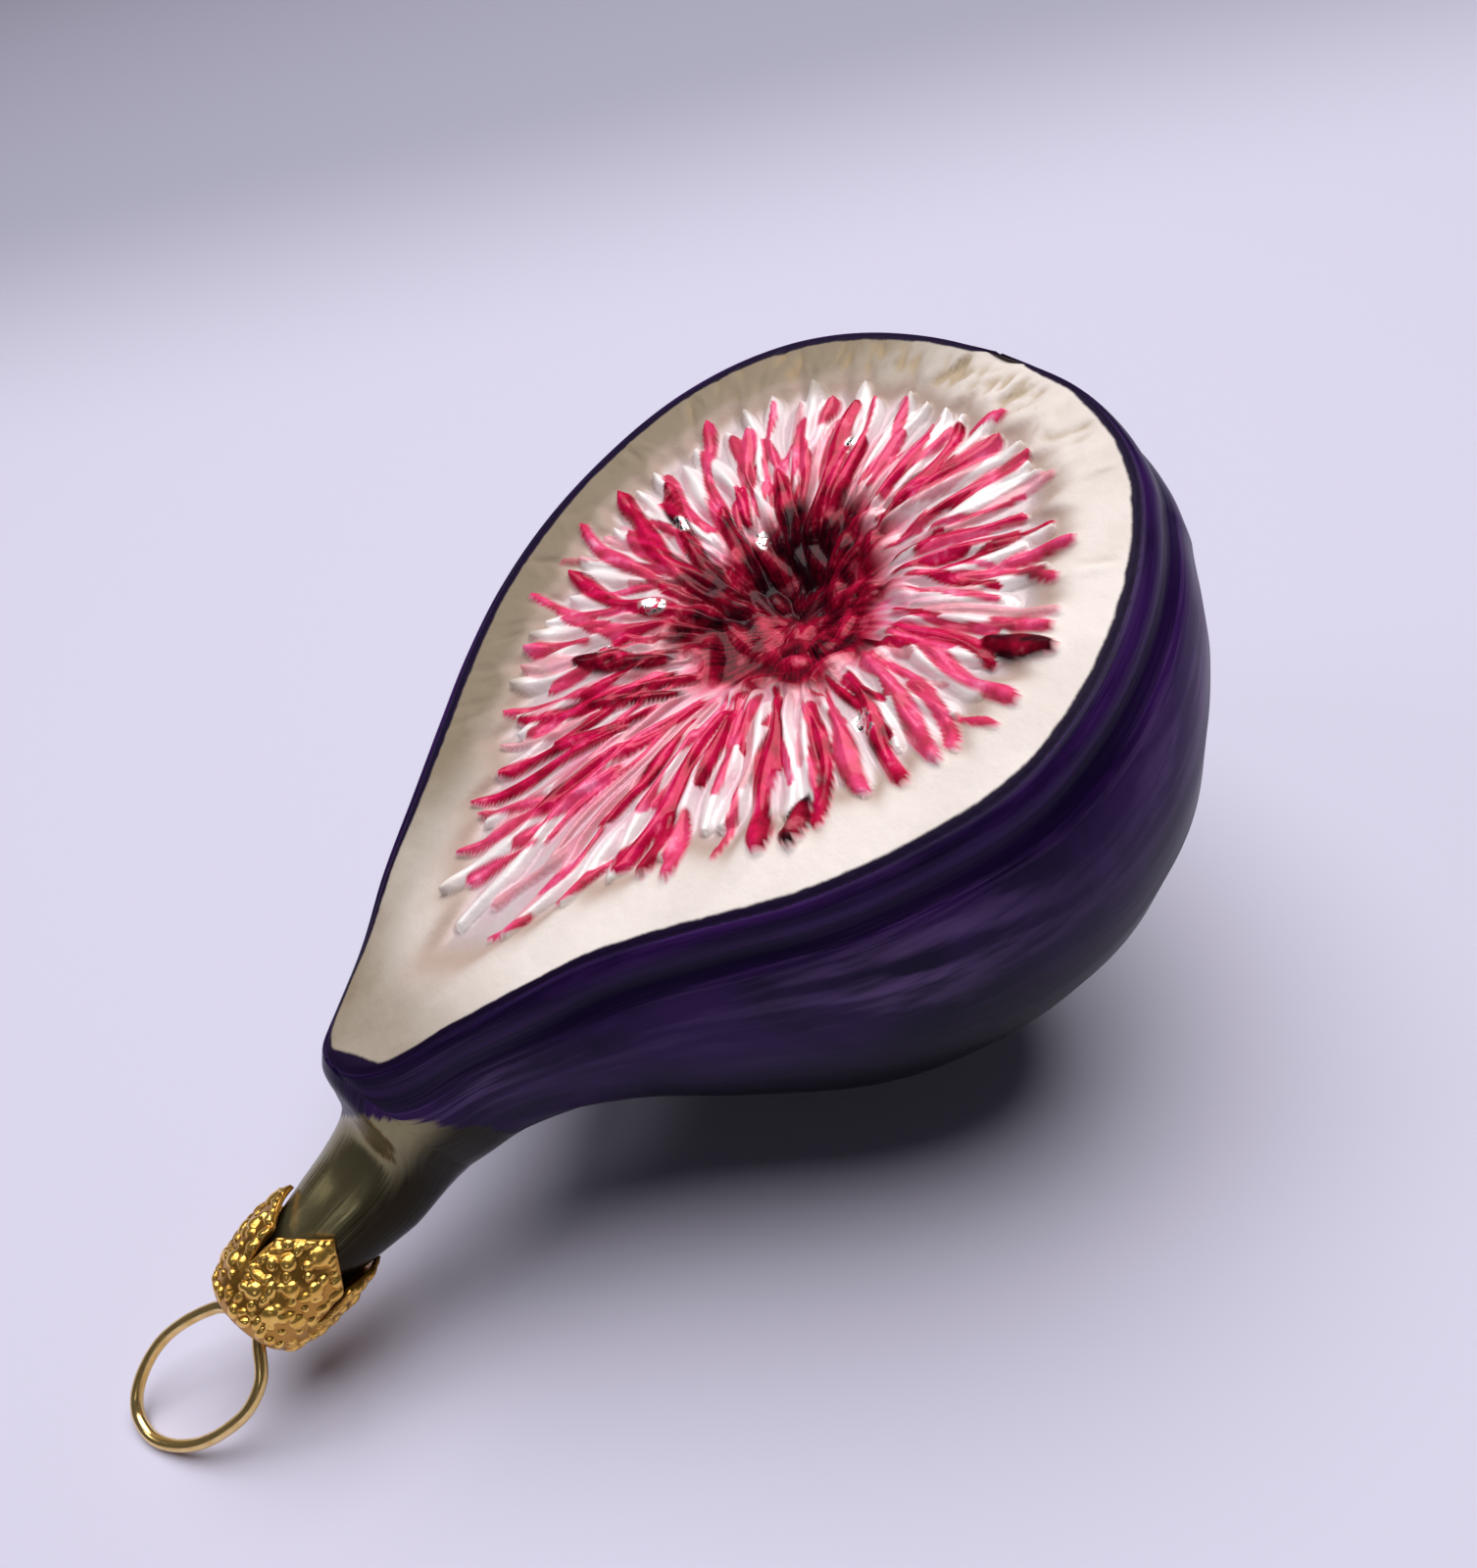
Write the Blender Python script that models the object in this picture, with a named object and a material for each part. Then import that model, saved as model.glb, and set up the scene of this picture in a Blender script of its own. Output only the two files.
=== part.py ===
"""Blown-glass hanging ornament shaped like half a fig, with a stamped metal cap and a wire loop.

Metres, +Z up. The ornament lies on its belly with its cut face up, its neck towards -X, and the
end of its wire loop on the same table. Shapes are drawn in the ornament's own frame, where X runs
along the face from the neck end, +Y is the left side and Z is up out of the face. One empty then
tips that frame into the lying pose.
"""
import math
import random

import bmesh
import bpy
import numpy as np
from mathutils import Matrix, Vector

MM = 0.001

# The cut face: (distance along it, half width on the left, half width on the right).
FACE_NEAR = 0.3 * MM
FACE_FAR = 80.4 * MM
FACE_STATIONS = [
    (0.9 * MM, 1.8 * MM, 2.3 * MM),
    (3.4 * MM, 3.7 * MM, 4.7 * MM),
    (8.0 * MM, 6.5 * MM, 6.6 * MM),
    (13.0 * MM, 10.4 * MM, 9.0 * MM),
    (19.0 * MM, 14.3 * MM, 12.1 * MM),
    (26.0 * MM, 19.0 * MM, 17.7 * MM),
    (32.0 * MM, 22.9 * MM, 22.8 * MM),
    (39.0 * MM, 26.4 * MM, 26.9 * MM),
    (47.0 * MM, 28.7 * MM, 29.9 * MM),
    (55.0 * MM, 29.2 * MM, 29.7 * MM),
    (63.0 * MM, 28.1 * MM, 27.2 * MM),
    (69.2 * MM, 25.4 * MM, 23.7 * MM),
    (74.2 * MM, 21.2 * MM, 19.4 * MM),
    (77.8 * MM, 15.3 * MM, 13.9 * MM),
    (79.9 * MM, 7.8 * MM, 7.9 * MM),
]

# The belly under the face: (distance along the face, depth, widest half width).
BELLY_STATIONS = [
    (0.3 * MM, 19.2 * MM, 4.3 * MM),
    (6.0 * MM, 20.4 * MM, 7.4 * MM),
    (13.0 * MM, 24.2 * MM, 12.9 * MM),
    (20.0 * MM, 32.5 * MM, 18.8 * MM),
    (28.0 * MM, 39.6 * MM, 25.2 * MM),
    (36.0 * MM, 42.9 * MM, 29.9 * MM),
    (44.0 * MM, 43.6 * MM, 32.7 * MM),
    (52.0 * MM, 41.8 * MM, 33.7 * MM),
    (60.0 * MM, 37.3 * MM, 32.6 * MM),
    (68.0 * MM, 30.0 * MM, 28.2 * MM),
    (74.0 * MM, 23.4 * MM, 22.4 * MM),
]
FAR_END_BULGE = 2.0 * MM        # how far the skin swells past the far end of the face
EDGE_ROUND = 0.6 * MM           # rounded edge between face and skin
LIP_WIDTH = 2.6 * MM            # band of skin just under the edge
LIP_PROUD = 0.25 * MM
GROOVE_AT = 3.7 * MM            # middle of the groove, measured down the skin from the edge
GROOVE_HALF_WIDTH = 1.1 * MM
GROOVE_DEPTH = 0.55 * MM
RIB_COUNT = 9                   # faint lengthwise ribs of the skin
RIB_HEIGHT = 0.22 * MM
SKIN_COLUMNS = 25
NECK_WALL = 2.4 * MM            # blown glass is thickest near the pipe it was blown on
BELLY_WALL = 1.1 * MM
THIN_FROM = 45 * MM             # how far along the face the wall has thinned out

# The relief of the face: a sunken pit with finger-like strands running out of it.
PIT_AT = 52.0 * MM              # along the face
PIT_ASIDE = 0.3 * MM            # towards the left
PIT_DEPTH = 5.0 * MM
PIT_SPREAD = 0.24               # share of the way from the pit to the edge
FIELD_DIP = 1.0 * MM            # how far the ground between the strands lies under the rim
FIELD_EDGE = 0.77               # share of the way to the edge where the strand field ends
FIELD_SLOPE = 0.08
STRAND_COUNT = 48
SPOKES_PER_STRAND = 3
STRAND_HEIGHT = 1.5 * MM
LONG_STRAND_STARTS = (0.12, 0.22)
SHORT_STRAND_STARTS = (0.26, 0.40)
LONG_STRAND_STOPS = (0.0, 0.08)
SHORT_STRAND_STOPS = (0.03, 0.16)
FACE_RINGS = [0.05, 0.11, 0.17, 0.23, 0.30, 0.37, 0.44, 0.51, 0.58, 0.64, 0.70, 0.76, 0.82, 0.90, 0.97]

# The shoulder under the near end of the face: top (x, z), bottom (x, z) and half width.
SHOULDER_RINGS = [
    (0.3 * MM, 0.0 * MM, 0.3 * MM, -19.2 * MM, 4.3 * MM),
    (-0.9 * MM, -1.5 * MM, -1.0 * MM, -19.1 * MM, 4.6 * MM),
    (-1.8 * MM, -4.2 * MM, -2.3 * MM, -18.9 * MM, 4.9 * MM),
    (-3.0 * MM, -6.8 * MM, -3.9 * MM, -18.6 * MM, 5.1 * MM),
]

# The neck's middle line: (x, z, radius), out to its open mouth.
NECK_LINE = [
    (-6.0 * MM, -13.3 * MM, 5.0 * MM),
    (-9.2 * MM, -13.3 * MM, 4.5 * MM),
    (-12.4 * MM, -13.3 * MM, 4.0 * MM),
    (-15.8 * MM, -13.3 * MM, 3.6 * MM),
    (-19.0 * MM, -13.4 * MM, 3.3 * MM),
]
NECK_STEPS = 2                  # rings drawn between one named ring and the next
BORE_RADIUS = 2.5 * MM
INNER_COLUMNS = 24

# The cap, measured along its axis from the neck's mouth: minus is towards the body.
PETAL_COUNT = 4
CAP_SHEET = 0.4 * MM
CAP_TURN = math.radians(42)     # one petal's middle, from straight up towards the right
CAP_TIP_AT = -9.0 * MM
CAP_SHOULDER_AT = -6.3 * MM     # where a petal's straight sides turn in towards its tip
CAP_SLIT_AT = -2.8 * MM         # bottom of the slit between two petals
SLIT_HALF_ANGLE = math.radians(5)
CROWN_RADII = [0.0 * MM, 2.6 * MM, 3.7 * MM]
CAP_PROFILE = [                 # (along the axis, outer radius)
    (0.9 * MM, 3.8 * MM),
    (0.2 * MM, 4.4 * MM),
    (-2.0 * MM, 5.1 * MM),
    (-5.0 * MM, 5.4 * MM),
    (-8.0 * MM, 5.15 * MM),
    (-9.0 * MM, 5.0 * MM),
]
CAP_COLUMNS = 64
CAP_OUTER_ROWS = 13
CAP_INNER_ROWS = 4
BOSSES = [                      # on each petal: (sideways, along the axis, radius)
    (0.0 * MM, -7.4 * MM, 0.85 * MM),
    (-1.6 * MM, -5.6 * MM, 0.65 * MM),
    (1.5 * MM, -5.3 * MM, 0.65 * MM),
    (0.0 * MM, -4.2 * MM, 0.7 * MM),
    (-2.6 * MM, -6.6 * MM, 0.55 * MM),
    (2.6 * MM, -6.6 * MM, 0.55 * MM),
    (-1.4 * MM, -8.7 * MM, 0.5 * MM),
    (1.4 * MM, -8.7 * MM, 0.5 * MM),
    (-2.2 * MM, -2.2 * MM, 0.75 * MM),
    (0.2 * MM, -1.6 * MM, 0.8 * MM),
    (2.3 * MM, -2.4 * MM, 0.7 * MM),
]
BOSS_HEIGHT = 0.35 * MM

# The wire: two sprung legs in the neck, and one loop outside.
WIRE_RADIUS = 0.53 * MM
HOLE_RADIUS = 0.88 * MM
LEG_SPACING = 3.3 * MM
LEG_LENGTH = 9.0 * MM
LEG_SPREAD = 3.7 * MM           # spacing at the inner ends of the legs
LOOP_OUTLINE = [                # (out from the crown, to the right) in the loop's own plane
    (2.4 * MM, -3.3 * MM),
    (5.8 * MM, -5.0 * MM),
    (8.8 * MM, -5.8 * MM),
    (11.5 * MM, -5.7 * MM),
    (13.9 * MM, -4.8 * MM),
    (15.0 * MM, -3.3 * MM),
    (14.9 * MM, -1.1 * MM),
    (13.5 * MM, 1.0 * MM),
    (11.2 * MM, 2.9 * MM),
    (8.3 * MM, 4.2 * MM),
    (5.2 * MM, 4.8 * MM),
    (2.6 * MM, 4.1 * MM),
]
LOOP_STEPS = 4
LOOP_YAW = math.radians(-8)     # the loop swings to the left
LOOP_ROLL = math.radians(-12)   # its right side hangs lower

# The lying pose.
FACE_TILT = math.radians(19)    # the face rises from the neck to the far end
REST_CUT = 0.5 * MM             # depth of the flat spot under the belly
LOOP_CLEARANCE = 0.02 * MM      # the loop's end stops this far above the flat spot's level

SEED = 7


def smoothstep(low, high, value):
    share = min(1.0, max(0.0, (value - low) / (high - low)))
    return share * share * (3 - 2 * share)


def curve_through(points, steps, closed=False):
    """Points on a smooth curve through the given ones, its tangents set by the chords."""
    points = [Vector(p) for p in points]
    count = len(points)
    out = []
    for span in range(count if closed else count - 1):
        if closed:
            before, start, end, after = (points[(span + k) % count] for k in (-1, 0, 1, 2))
        else:
            start, end = points[span], points[span + 1]
            before = points[span - 1] if span else 2 * start - end
            after = points[span + 2] if span + 2 < count else 2 * end - start
        chord = (end - start).length
        tangent_start = (end - before) * chord / (chord + (start - before).length)
        tangent_end = (after - start) * chord / (chord + (after - end).length)
        for step in range(steps):
            t = step / steps
            out.append(
                start * (2 * t ** 3 - 3 * t ** 2 + 1)
                + tangent_start * (t ** 3 - 2 * t ** 2 + t)
                + end * (3 * t ** 2 - 2 * t ** 3)
                + tangent_end * (t ** 3 - t ** 2)
            )
    if not closed:
        out.append(points[-1])
    return out


def face_outline(spokes):
    """The face's outline at even angles round the pit: far end first, left side, near end, right."""
    left = [(x, wide) for x, wide, other in FACE_STATIONS]
    right = [(x, -wide) for x, other, wide in FACE_STATIONS]
    ring = [(FACE_FAR, 0.0)] + left[::-1] + [(FACE_NEAR, 0.0)] + right
    dense = np.array(curve_through(ring, 24, closed=True)) - np.array([PIT_AT, PIT_ASIDE])
    angle = np.unwrap(np.arctan2(dense[:, 1], dense[:, 0]))
    reach = np.hypot(dense[:, 0], dense[:, 1])
    far_angle = math.atan2(-PIT_ASIDE, FACE_FAR - PIT_AT)
    near_angle = math.atan2(-PIT_ASIDE, FACE_NEAR - PIT_AT) + 2 * math.pi
    half = spokes // 2
    first = [far_angle + (near_angle - far_angle) * k / half for k in range(half)]
    second = [near_angle + (far_angle + 2 * math.pi - near_angle) * k / half for k in range(half)]
    turn = 2 * np.pi
    angles = np.concatenate([angle - turn, angle, angle + turn])
    reaches = np.interp(first + second, angles, np.tile(reach, 3))
    return [
        Vector((PIT_AT + r * math.cos(a), PIT_ASIDE + r * math.sin(a)))
        for a, r in zip(first + second, reaches)
    ]


def make_strands():
    """For each strand of the face: where it starts and stops on the way to the edge, and how tall."""
    draw = random.Random(SEED)
    strands = []
    for index in range(STRAND_COUNT):
        long_one = index % 2 == 0
        start = draw.uniform(*(LONG_STRAND_STARTS if long_one else SHORT_STRAND_STARTS))
        stop = FIELD_EDGE - draw.uniform(*(LONG_STRAND_STOPS if long_one else SHORT_STRAND_STOPS))
        strands.append((start, stop, draw.uniform(0.75, 1.1)))
    return strands


def ground_height(share):
    """The face without its strands; share runs from 0 in the pit to 1 at the edge."""
    pit = PIT_DEPTH * math.exp(-((share / PIT_SPREAD) ** 2))
    dip = FIELD_DIP * (1 - smoothstep(FIELD_EDGE - FIELD_SLOPE, FIELD_EDGE + FIELD_SLOPE, share))
    return -pit - dip


def strand_height(share, spoke, strands):
    start, stop, tall = strands[spoke // SPOKES_PER_STRAND]
    rise = smoothstep(start - 0.06, start + 0.05, share)
    fall = 1 - smoothstep(stop - 0.05, stop + 0.03, share)
    crest = 1.0 if spoke % SPOKES_PER_STRAND == 1 else 0.1
    return STRAND_HEIGHT * tall * rise * fall * crest


BELLY_CURVE = np.array(curve_through(BELLY_STATIONS, 12))


def section_sizes(x, half_width):
    """Half width, centre depth and half height of the belly's oval at one place along the body."""
    last_x, last_depth, last_wide = BELLY_STATIONS[-1]
    if x < last_x:
        depth = float(np.interp(x, BELLY_CURVE[:, 0], BELLY_CURVE[:, 1]))
        wide = float(np.interp(x, BELLY_CURVE[:, 0], BELLY_CURVE[:, 2]))
    else:
        end_half = (FACE_STATIONS[-3][1] + FACE_STATIONS[-3][2]) / 2
        depth = last_depth * half_width / end_half
        wide = last_wide * half_width / end_half
    wide = max(wide, half_width * 1.005)
    lean = math.sqrt(1 - (half_width / wide) ** 2)
    half_high = depth / (1 + lean)
    return wide, depth - half_high, half_high


def skin_places(total):
    """Distances down the skin at which it is drawn: close by both edges, even between them."""
    near = [0.0, EDGE_ROUND, LIP_WIDTH * 0.55, LIP_WIDTH, GROOVE_AT, GROOVE_AT + 1.3 * GROOVE_HALF_WIDTH]
    shrink = min(1.0, total * 0.4 / near[-1])
    near = [place * shrink for place in near]
    even = SKIN_COLUMNS - 2 * len(near)
    gap = (total - 2 * near[-1]) / (even + 1)
    middle = [near[-1] + gap * (k + 1) for k in range(even)]
    return near + middle + [total - place for place in near[::-1]], shrink


def skin_row(left, right):
    """One row of skin, from the face's left edge under the belly to its right edge."""
    half_width = (left.y - right.y) / 2
    middle = (left.y + right.y) / 2
    wide, centre, high = section_sizes(left.x, half_width)
    open_angle = math.acos(half_width / wide)
    angles = np.linspace(-open_angle, math.pi + open_angle, 241)
    steps = np.hypot(np.diff(wide * np.cos(angles)), np.diff(high * np.sin(angles)))
    lengths = np.concatenate([[0], np.cumsum(steps)])
    total = lengths[-1]
    places, shrink = skin_places(total)
    relief = shrink * smoothstep(1.0 * MM, 8.0 * MM, left.x)
    swell = FAR_END_BULGE * smoothstep(0.5 * FACE_FAR, FACE_FAR, left.x)
    swell_depth = BELLY_STATIONS[-1][1]
    row = []
    for place in places:
        angle = float(np.interp(place, lengths, angles))
        from_edge = min(place, total - place)
        share = place / total
        groove = GROOVE_DEPTH * math.exp(-(((from_edge / shrink - GROOVE_AT) / GROOVE_HALF_WIDTH) ** 2))
        lip = LIP_PROUD * math.sin(math.pi * min(1.0, from_edge / shrink / (1.2 * LIP_WIDTH)))
        rib = RIB_HEIGHT * 0.5 * (1 - math.cos(2 * math.pi * RIB_COUNT * share))
        rib *= smoothstep(GROOVE_AT, 2.5 * GROOVE_AT, from_edge)
        out = (lip - groove + rib) * relief
        down = min(1.0, max(0.0, (centre + high * math.sin(angle)) / swell_depth))
        row.append(Vector((
            left.x + (right.x - left.x) * share + swell * math.sin(math.pi * down),
            middle + (wide + out) * math.cos(angle),
            -centre - (high + out) * math.sin(angle),
        )))
    return row


def neck_axis():
    """Direction of the neck out of its mouth, and the direction across it that points up."""
    (x0, z0, r0), (x1, z1, r1) = NECK_LINE[-2:]
    out = Vector((x1 - x0, 0, z1 - z0)).normalized()
    return out, Vector((0, 1, 0)).cross(out)


def neck_rings():
    """The shoulder's and the neck's closed rings, as (centre, up, half width)."""
    out, up = neck_axis()
    named = [
        (Vector((tx, 0, tz)), Vector((bx, 0, bz)), half) for tx, tz, bx, bz, half in SHOULDER_RINGS
    ]
    named += [
        (Vector((x, 0, z)) + up * radius, Vector((x, 0, z)) - up * radius, radius)
        for x, z, radius in NECK_LINE
    ]
    tops = curve_through([top for top, bottom, half in named], NECK_STEPS)
    bottoms = curve_through([bottom for top, bottom, half in named], NECK_STEPS)
    steps = np.arange(len(tops)) / NECK_STEPS
    halves = np.interp(steps, range(len(named)), [half for top, bottom, half in named])
    return [((t + b) / 2, (t - b) / 2, float(h)) for t, b, h in zip(tops, bottoms, halves)]


def ring_points(centre, up, half, count):
    """A closed ring, from its top round its left side; the last point repeats the first."""
    return [
        centre + up * math.cos(2 * math.pi * k / count)
        + Vector((0, half * math.sin(2 * math.pi * k / count), 0))
        for k in range(count + 1)
    ]


def wall_at(x):
    """Thickness of the glass at one place along the body."""
    return NECK_WALL + (BELLY_WALL - NECK_WALL) * smoothstep(0.0, THIN_FROM, x)


def inner_rows():
    """The inside of the blown body, from its far end to the mouth, one wall inside the skin."""
    rows = []
    half_x = [x for x, left, right in FACE_STATIONS]
    half_y = [(left + right) / 2 for x, left, right in FACE_STATIONS]
    for x in np.linspace(FACE_FAR - 5 * MM, 9 * MM, 12):
        wide, centre, high = section_sizes(x, float(np.interp(x, half_x, half_y)))
        wall = wall_at(x)
        row = []
        for k in range(INNER_COLUMNS + 1):
            angle = 2 * math.pi * k / INNER_COLUMNS
            y = (wide - wall) * math.sin(angle)
            z = -centre + (high - wall) * math.cos(angle)
            away = math.hypot(x - PIT_AT, y - PIT_ASIDE) / (27 * MM)
            row.append(Vector((x, y, min(z, ground_height(away) - 1.3 * wall))))
        rows.append(row)
    for top_x, top_z, bottom_x, bottom_z, half in (SHOULDER_RINGS[0], SHOULDER_RINGS[-1]):
        top, bottom = Vector((top_x, 0, top_z)), Vector((bottom_x, 0, bottom_z))
        high = (top - bottom) / 2
        inside = high * (1 - 2 * NECK_WALL / high.length)
        rows.append(ring_points((top + bottom) / 2, inside, max(half - NECK_WALL, BORE_RADIUS), INNER_COLUMNS))
    out, up = neck_axis()
    for x, z, radius in NECK_LINE:
        bore = max(radius - NECK_WALL, BORE_RADIUS)
        rows.append(ring_points(Vector((x, 0, z)), up * bore, bore, INNER_COLUMNS))
    return rows


def add_grid(bm, rows):
    """A patch of quads through rows of points, shaped from a flat grid."""
    height, width = len(rows) - 1, len(rows[0]) - 1
    grid = bmesh.ops.create_grid(bm, x_segments=width, y_segments=height, size=1.0)
    for vert in grid["verts"]:
        column = round((vert.co.x + 1) / 2 * width)
        row = round((vert.co.y + 1) / 2 * height)
        vert.co = rows[row][column]


def weld(bm):
    bmesh.ops.remove_doubles(bm, verts=bm.verts, dist=0.02 * MM)
    bmesh.ops.dissolve_degenerate(bm, edges=bm.edges, dist=0.01 * MM)
    bmesh.ops.recalc_face_normals(bm, faces=bm.faces)


def material(name, colour, metallic, roughness):
    made = bpy.data.materials.new(name)
    made.use_nodes = True
    shader = made.node_tree.nodes["Principled BSDF"]
    shader.inputs["Base Color"].default_value = (*colour, 1)
    shader.inputs["Metallic"].default_value = metallic
    shader.inputs["Roughness"].default_value = roughness
    return made


def add_object(name, bm, parent, finish):
    mesh = bpy.data.meshes.new(name)
    bm.to_mesh(mesh)
    bm.free()
    mesh.materials.append(finish)
    mesh.shade_smooth()
    mesh.set_sharp_from_angle(angle=math.radians(40))
    obj = bpy.data.objects.new(name, mesh)
    bpy.context.collection.objects.link(obj)
    obj.parent = parent
    return obj


def table_up():
    """Straight up from the table, in the ornament's own frame."""
    return Vector((math.sin(FACE_TILT), 0, math.cos(FACE_TILT)))


def face_rows():
    spokes = STRAND_COUNT * SPOKES_PER_STRAND
    outline = face_outline(spokes)
    strands = make_strands()
    pit = Vector((PIT_AT, PIT_ASIDE))
    rows = [[Vector((*pit, ground_height(0.0)))] * (spokes + 1)]
    for share in FACE_RINGS + [1.0]:
        row = []
        for spoke in range(spokes):
            height = ground_height(share) + strand_height(share, spoke, strands)
            row.append(Vector((*pit.lerp(outline[spoke], share), height)))
        rows.append(row + row[:1])
    return rows, outline


def make_glass(parent):
    """The blown body and neck in one piece: face, skin, neck, and the inside open at the mouth."""
    bm = bmesh.new()
    rows, outline = face_rows()
    add_grid(bm, rows)

    far_end = Vector((*outline[0], 0.0))
    skin = [[far_end] * SKIN_COLUMNS]
    for k in range(1, len(outline) // 2):
        skin.append(skin_row(outline[k], outline[-k]))
    for centre, up, half in neck_rings():
        skin.append(ring_points(centre, up, half, SKIN_COLUMNS - 1))
    add_grid(bm, skin)

    bore = inner_rows()
    bore.insert(0, [sum(bore[0][1:], Vector()) / INNER_COLUMNS] * (INNER_COLUMNS + 1))
    bore.append(skin[-1])
    add_grid(bm, bore)
    weld(bm)

    up = table_up()
    rest_level = min(vert.co.dot(up) for vert in bm.verts) + REST_CUT
    everything = bm.verts[:] + bm.edges[:] + bm.faces[:]
    cut = bmesh.ops.bisect_plane(
        bm, geom=everything, dist=0.001 * MM, plane_co=up * rest_level, plane_no=-up, clear_outer=True
    )
    rim = [item for item in cut["geom_cut"] if isinstance(item, bmesh.types.BMEdge)]
    bmesh.ops.edgeloop_fill(bm, edges=rim)
    bmesh.ops.recalc_face_normals(bm, faces=bm.faces)
    finish = material("lacquered_glass", (0.10, 0.02, 0.14), 0.0, 0.25)
    add_object("glass_fig", bm, parent, finish)
    return rest_level


def cap_frame():
    """Matrix whose X points out along the cap's axis, Y right and Z up, from the neck's mouth."""
    out, up = neck_axis()
    x, z, radius = NECK_LINE[-1]
    turn = Matrix((out, Vector((0, -1, 0)), up)).transposed().to_4x4()
    return Matrix.Translation((x, 0, z)) @ turn


def petal_offset(angle):
    """Angle from the middle of the nearest petal."""
    pitch = 2 * math.pi / PETAL_COUNT
    return (angle - CAP_TURN + pitch / 2) % pitch - pitch / 2


def petal_end(offset):
    """How far a petal reaches towards the body at an angle from its own middle."""
    side = math.pi / PETAL_COUNT - SLIT_HALF_ANGLE
    if abs(offset) < side:
        return CAP_TIP_AT + (CAP_SHOULDER_AT - CAP_TIP_AT) * abs(offset) / side
    slit = (abs(offset) - side) / SLIT_HALF_ANGLE
    return CAP_SHOULDER_AT + (CAP_SLIT_AT - CAP_SHOULDER_AT) * slit


def boss_height(offset, along, radius):
    height = 0.0
    for sideways, at, size in BOSSES:
        away = math.hypot(offset * radius - sideways, along - at) / size
        height = max(height, BOSS_HEIGHT * math.sqrt(max(0.0, 1 - away * away)))
    return height


def make_cap(parent):
    """The stamped cap: a crown with two holes, and a wall cut into pointed petals."""
    profile = np.array(CAP_PROFILE)[::-1]

    def outer_radius(along):
        return float(np.interp(along, profile[:, 0], profile[:, 1]))

    crown_at, crown_radius = CAP_PROFILE[0]
    rows = []
    for radius in CROWN_RADII:
        rows.append([(crown_at, radius)] * (CAP_COLUMNS + 1))
    for layer in range(CAP_OUTER_ROWS):
        row = []
        for column in range(CAP_COLUMNS + 1):
            offset = petal_offset(2 * math.pi * column / CAP_COLUMNS)
            along = crown_at + (petal_end(offset) - crown_at) * layer / (CAP_OUTER_ROWS - 1)
            radius = outer_radius(along)
            inside = min(1.0, layer / 2, (CAP_OUTER_ROWS - 1 - layer))
            row.append((along, radius + boss_height(offset, along, radius) * inside))
        rows.append(row)
    inner_crown_at = crown_at - CAP_SHEET
    for layer in range(CAP_INNER_ROWS, -1, -1):
        row = []
        for column in range(CAP_COLUMNS + 1):
            offset = petal_offset(2 * math.pi * column / CAP_COLUMNS)
            end = petal_end(offset)
            along = inner_crown_at + (end - inner_crown_at) * layer / CAP_INNER_ROWS
            row.append((along, outer_radius(along) - CAP_SHEET))
        rows.append(row)
    rows.append([(inner_crown_at, 0.0)] * (CAP_COLUMNS + 1))

    frame = cap_frame()
    points = [
        [
            frame @ Vector((
                along,
                radius * math.sin(2 * math.pi * column / CAP_COLUMNS),
                radius * math.cos(2 * math.pi * column / CAP_COLUMNS),
            ))
            for column, (along, radius) in enumerate(row)
        ]
        for row in rows
    ]
    bm = bmesh.new()
    add_grid(bm, points)
    weld(bm)
    cap = add_object("crown_cap", bm, parent, material("gilt_brass", (0.80, 0.50, 0.14), 1.0, 0.28))
    for side in (-1, 1):
        drill = bmesh.new()
        spot = frame @ Matrix.Rotation(LOOP_ROLL, 4, "X") @ Matrix.Translation((0, side * LEG_SPACING / 2, 0))
        bmesh.ops.create_cone(
            drill, cap_ends=True, segments=16, radius1=HOLE_RADIUS, radius2=HOLE_RADIUS, depth=4 * MM,
            matrix=spot @ Matrix.Rotation(math.pi / 2, 4, "Y"),
        )
        cutter = add_object(f"hole_cutter_{side + 1}", drill, parent, cap.data.materials[0])
        cutter.hide_render = True
        cutter.display_type = "WIRE"
        hole = cap.modifiers.new("wire_hole", "BOOLEAN")
        hole.operation = "DIFFERENCE"
        hole.solver = "EXACT"
        hole.object = cutter


def wire_line(pitch):
    """The wire's middle line in the ornament's frame, with the loop bent down by pitch."""
    frame = cap_frame()
    crown_at = CAP_PROFILE[0][0]
    exit_frame = frame @ Matrix.Rotation(LOOP_ROLL, 4, "X")
    legs = []
    for side in (-1, 1):
        legs.append([
            exit_frame @ Vector((crown_at - LEG_LENGTH, side * LEG_SPREAD / 2, 0)),
            exit_frame @ Vector((crown_at - LEG_LENGTH / 2, side * (LEG_SPREAD + LEG_SPACING) / 4, 0)),
            exit_frame @ Vector((crown_at - CAP_SHEET, side * LEG_SPACING / 2, 0)),
            exit_frame @ Vector((crown_at + CAP_SHEET, side * LEG_SPACING / 2, 0)),
        ])
    turn = Matrix.Rotation(pitch, 4, "Y") @ Matrix.Rotation(LOOP_YAW, 4, "Z")
    loop_frame = frame @ Matrix.Translation((crown_at, 0, 0)) @ turn @ Matrix.Rotation(LOOP_ROLL, 4, "X")
    loop = [loop_frame @ Vector((out, right, 0)) for out, right in LOOP_OUTLINE]
    return curve_through(legs[0] + loop + legs[1][::-1], LOOP_STEPS)


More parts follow.
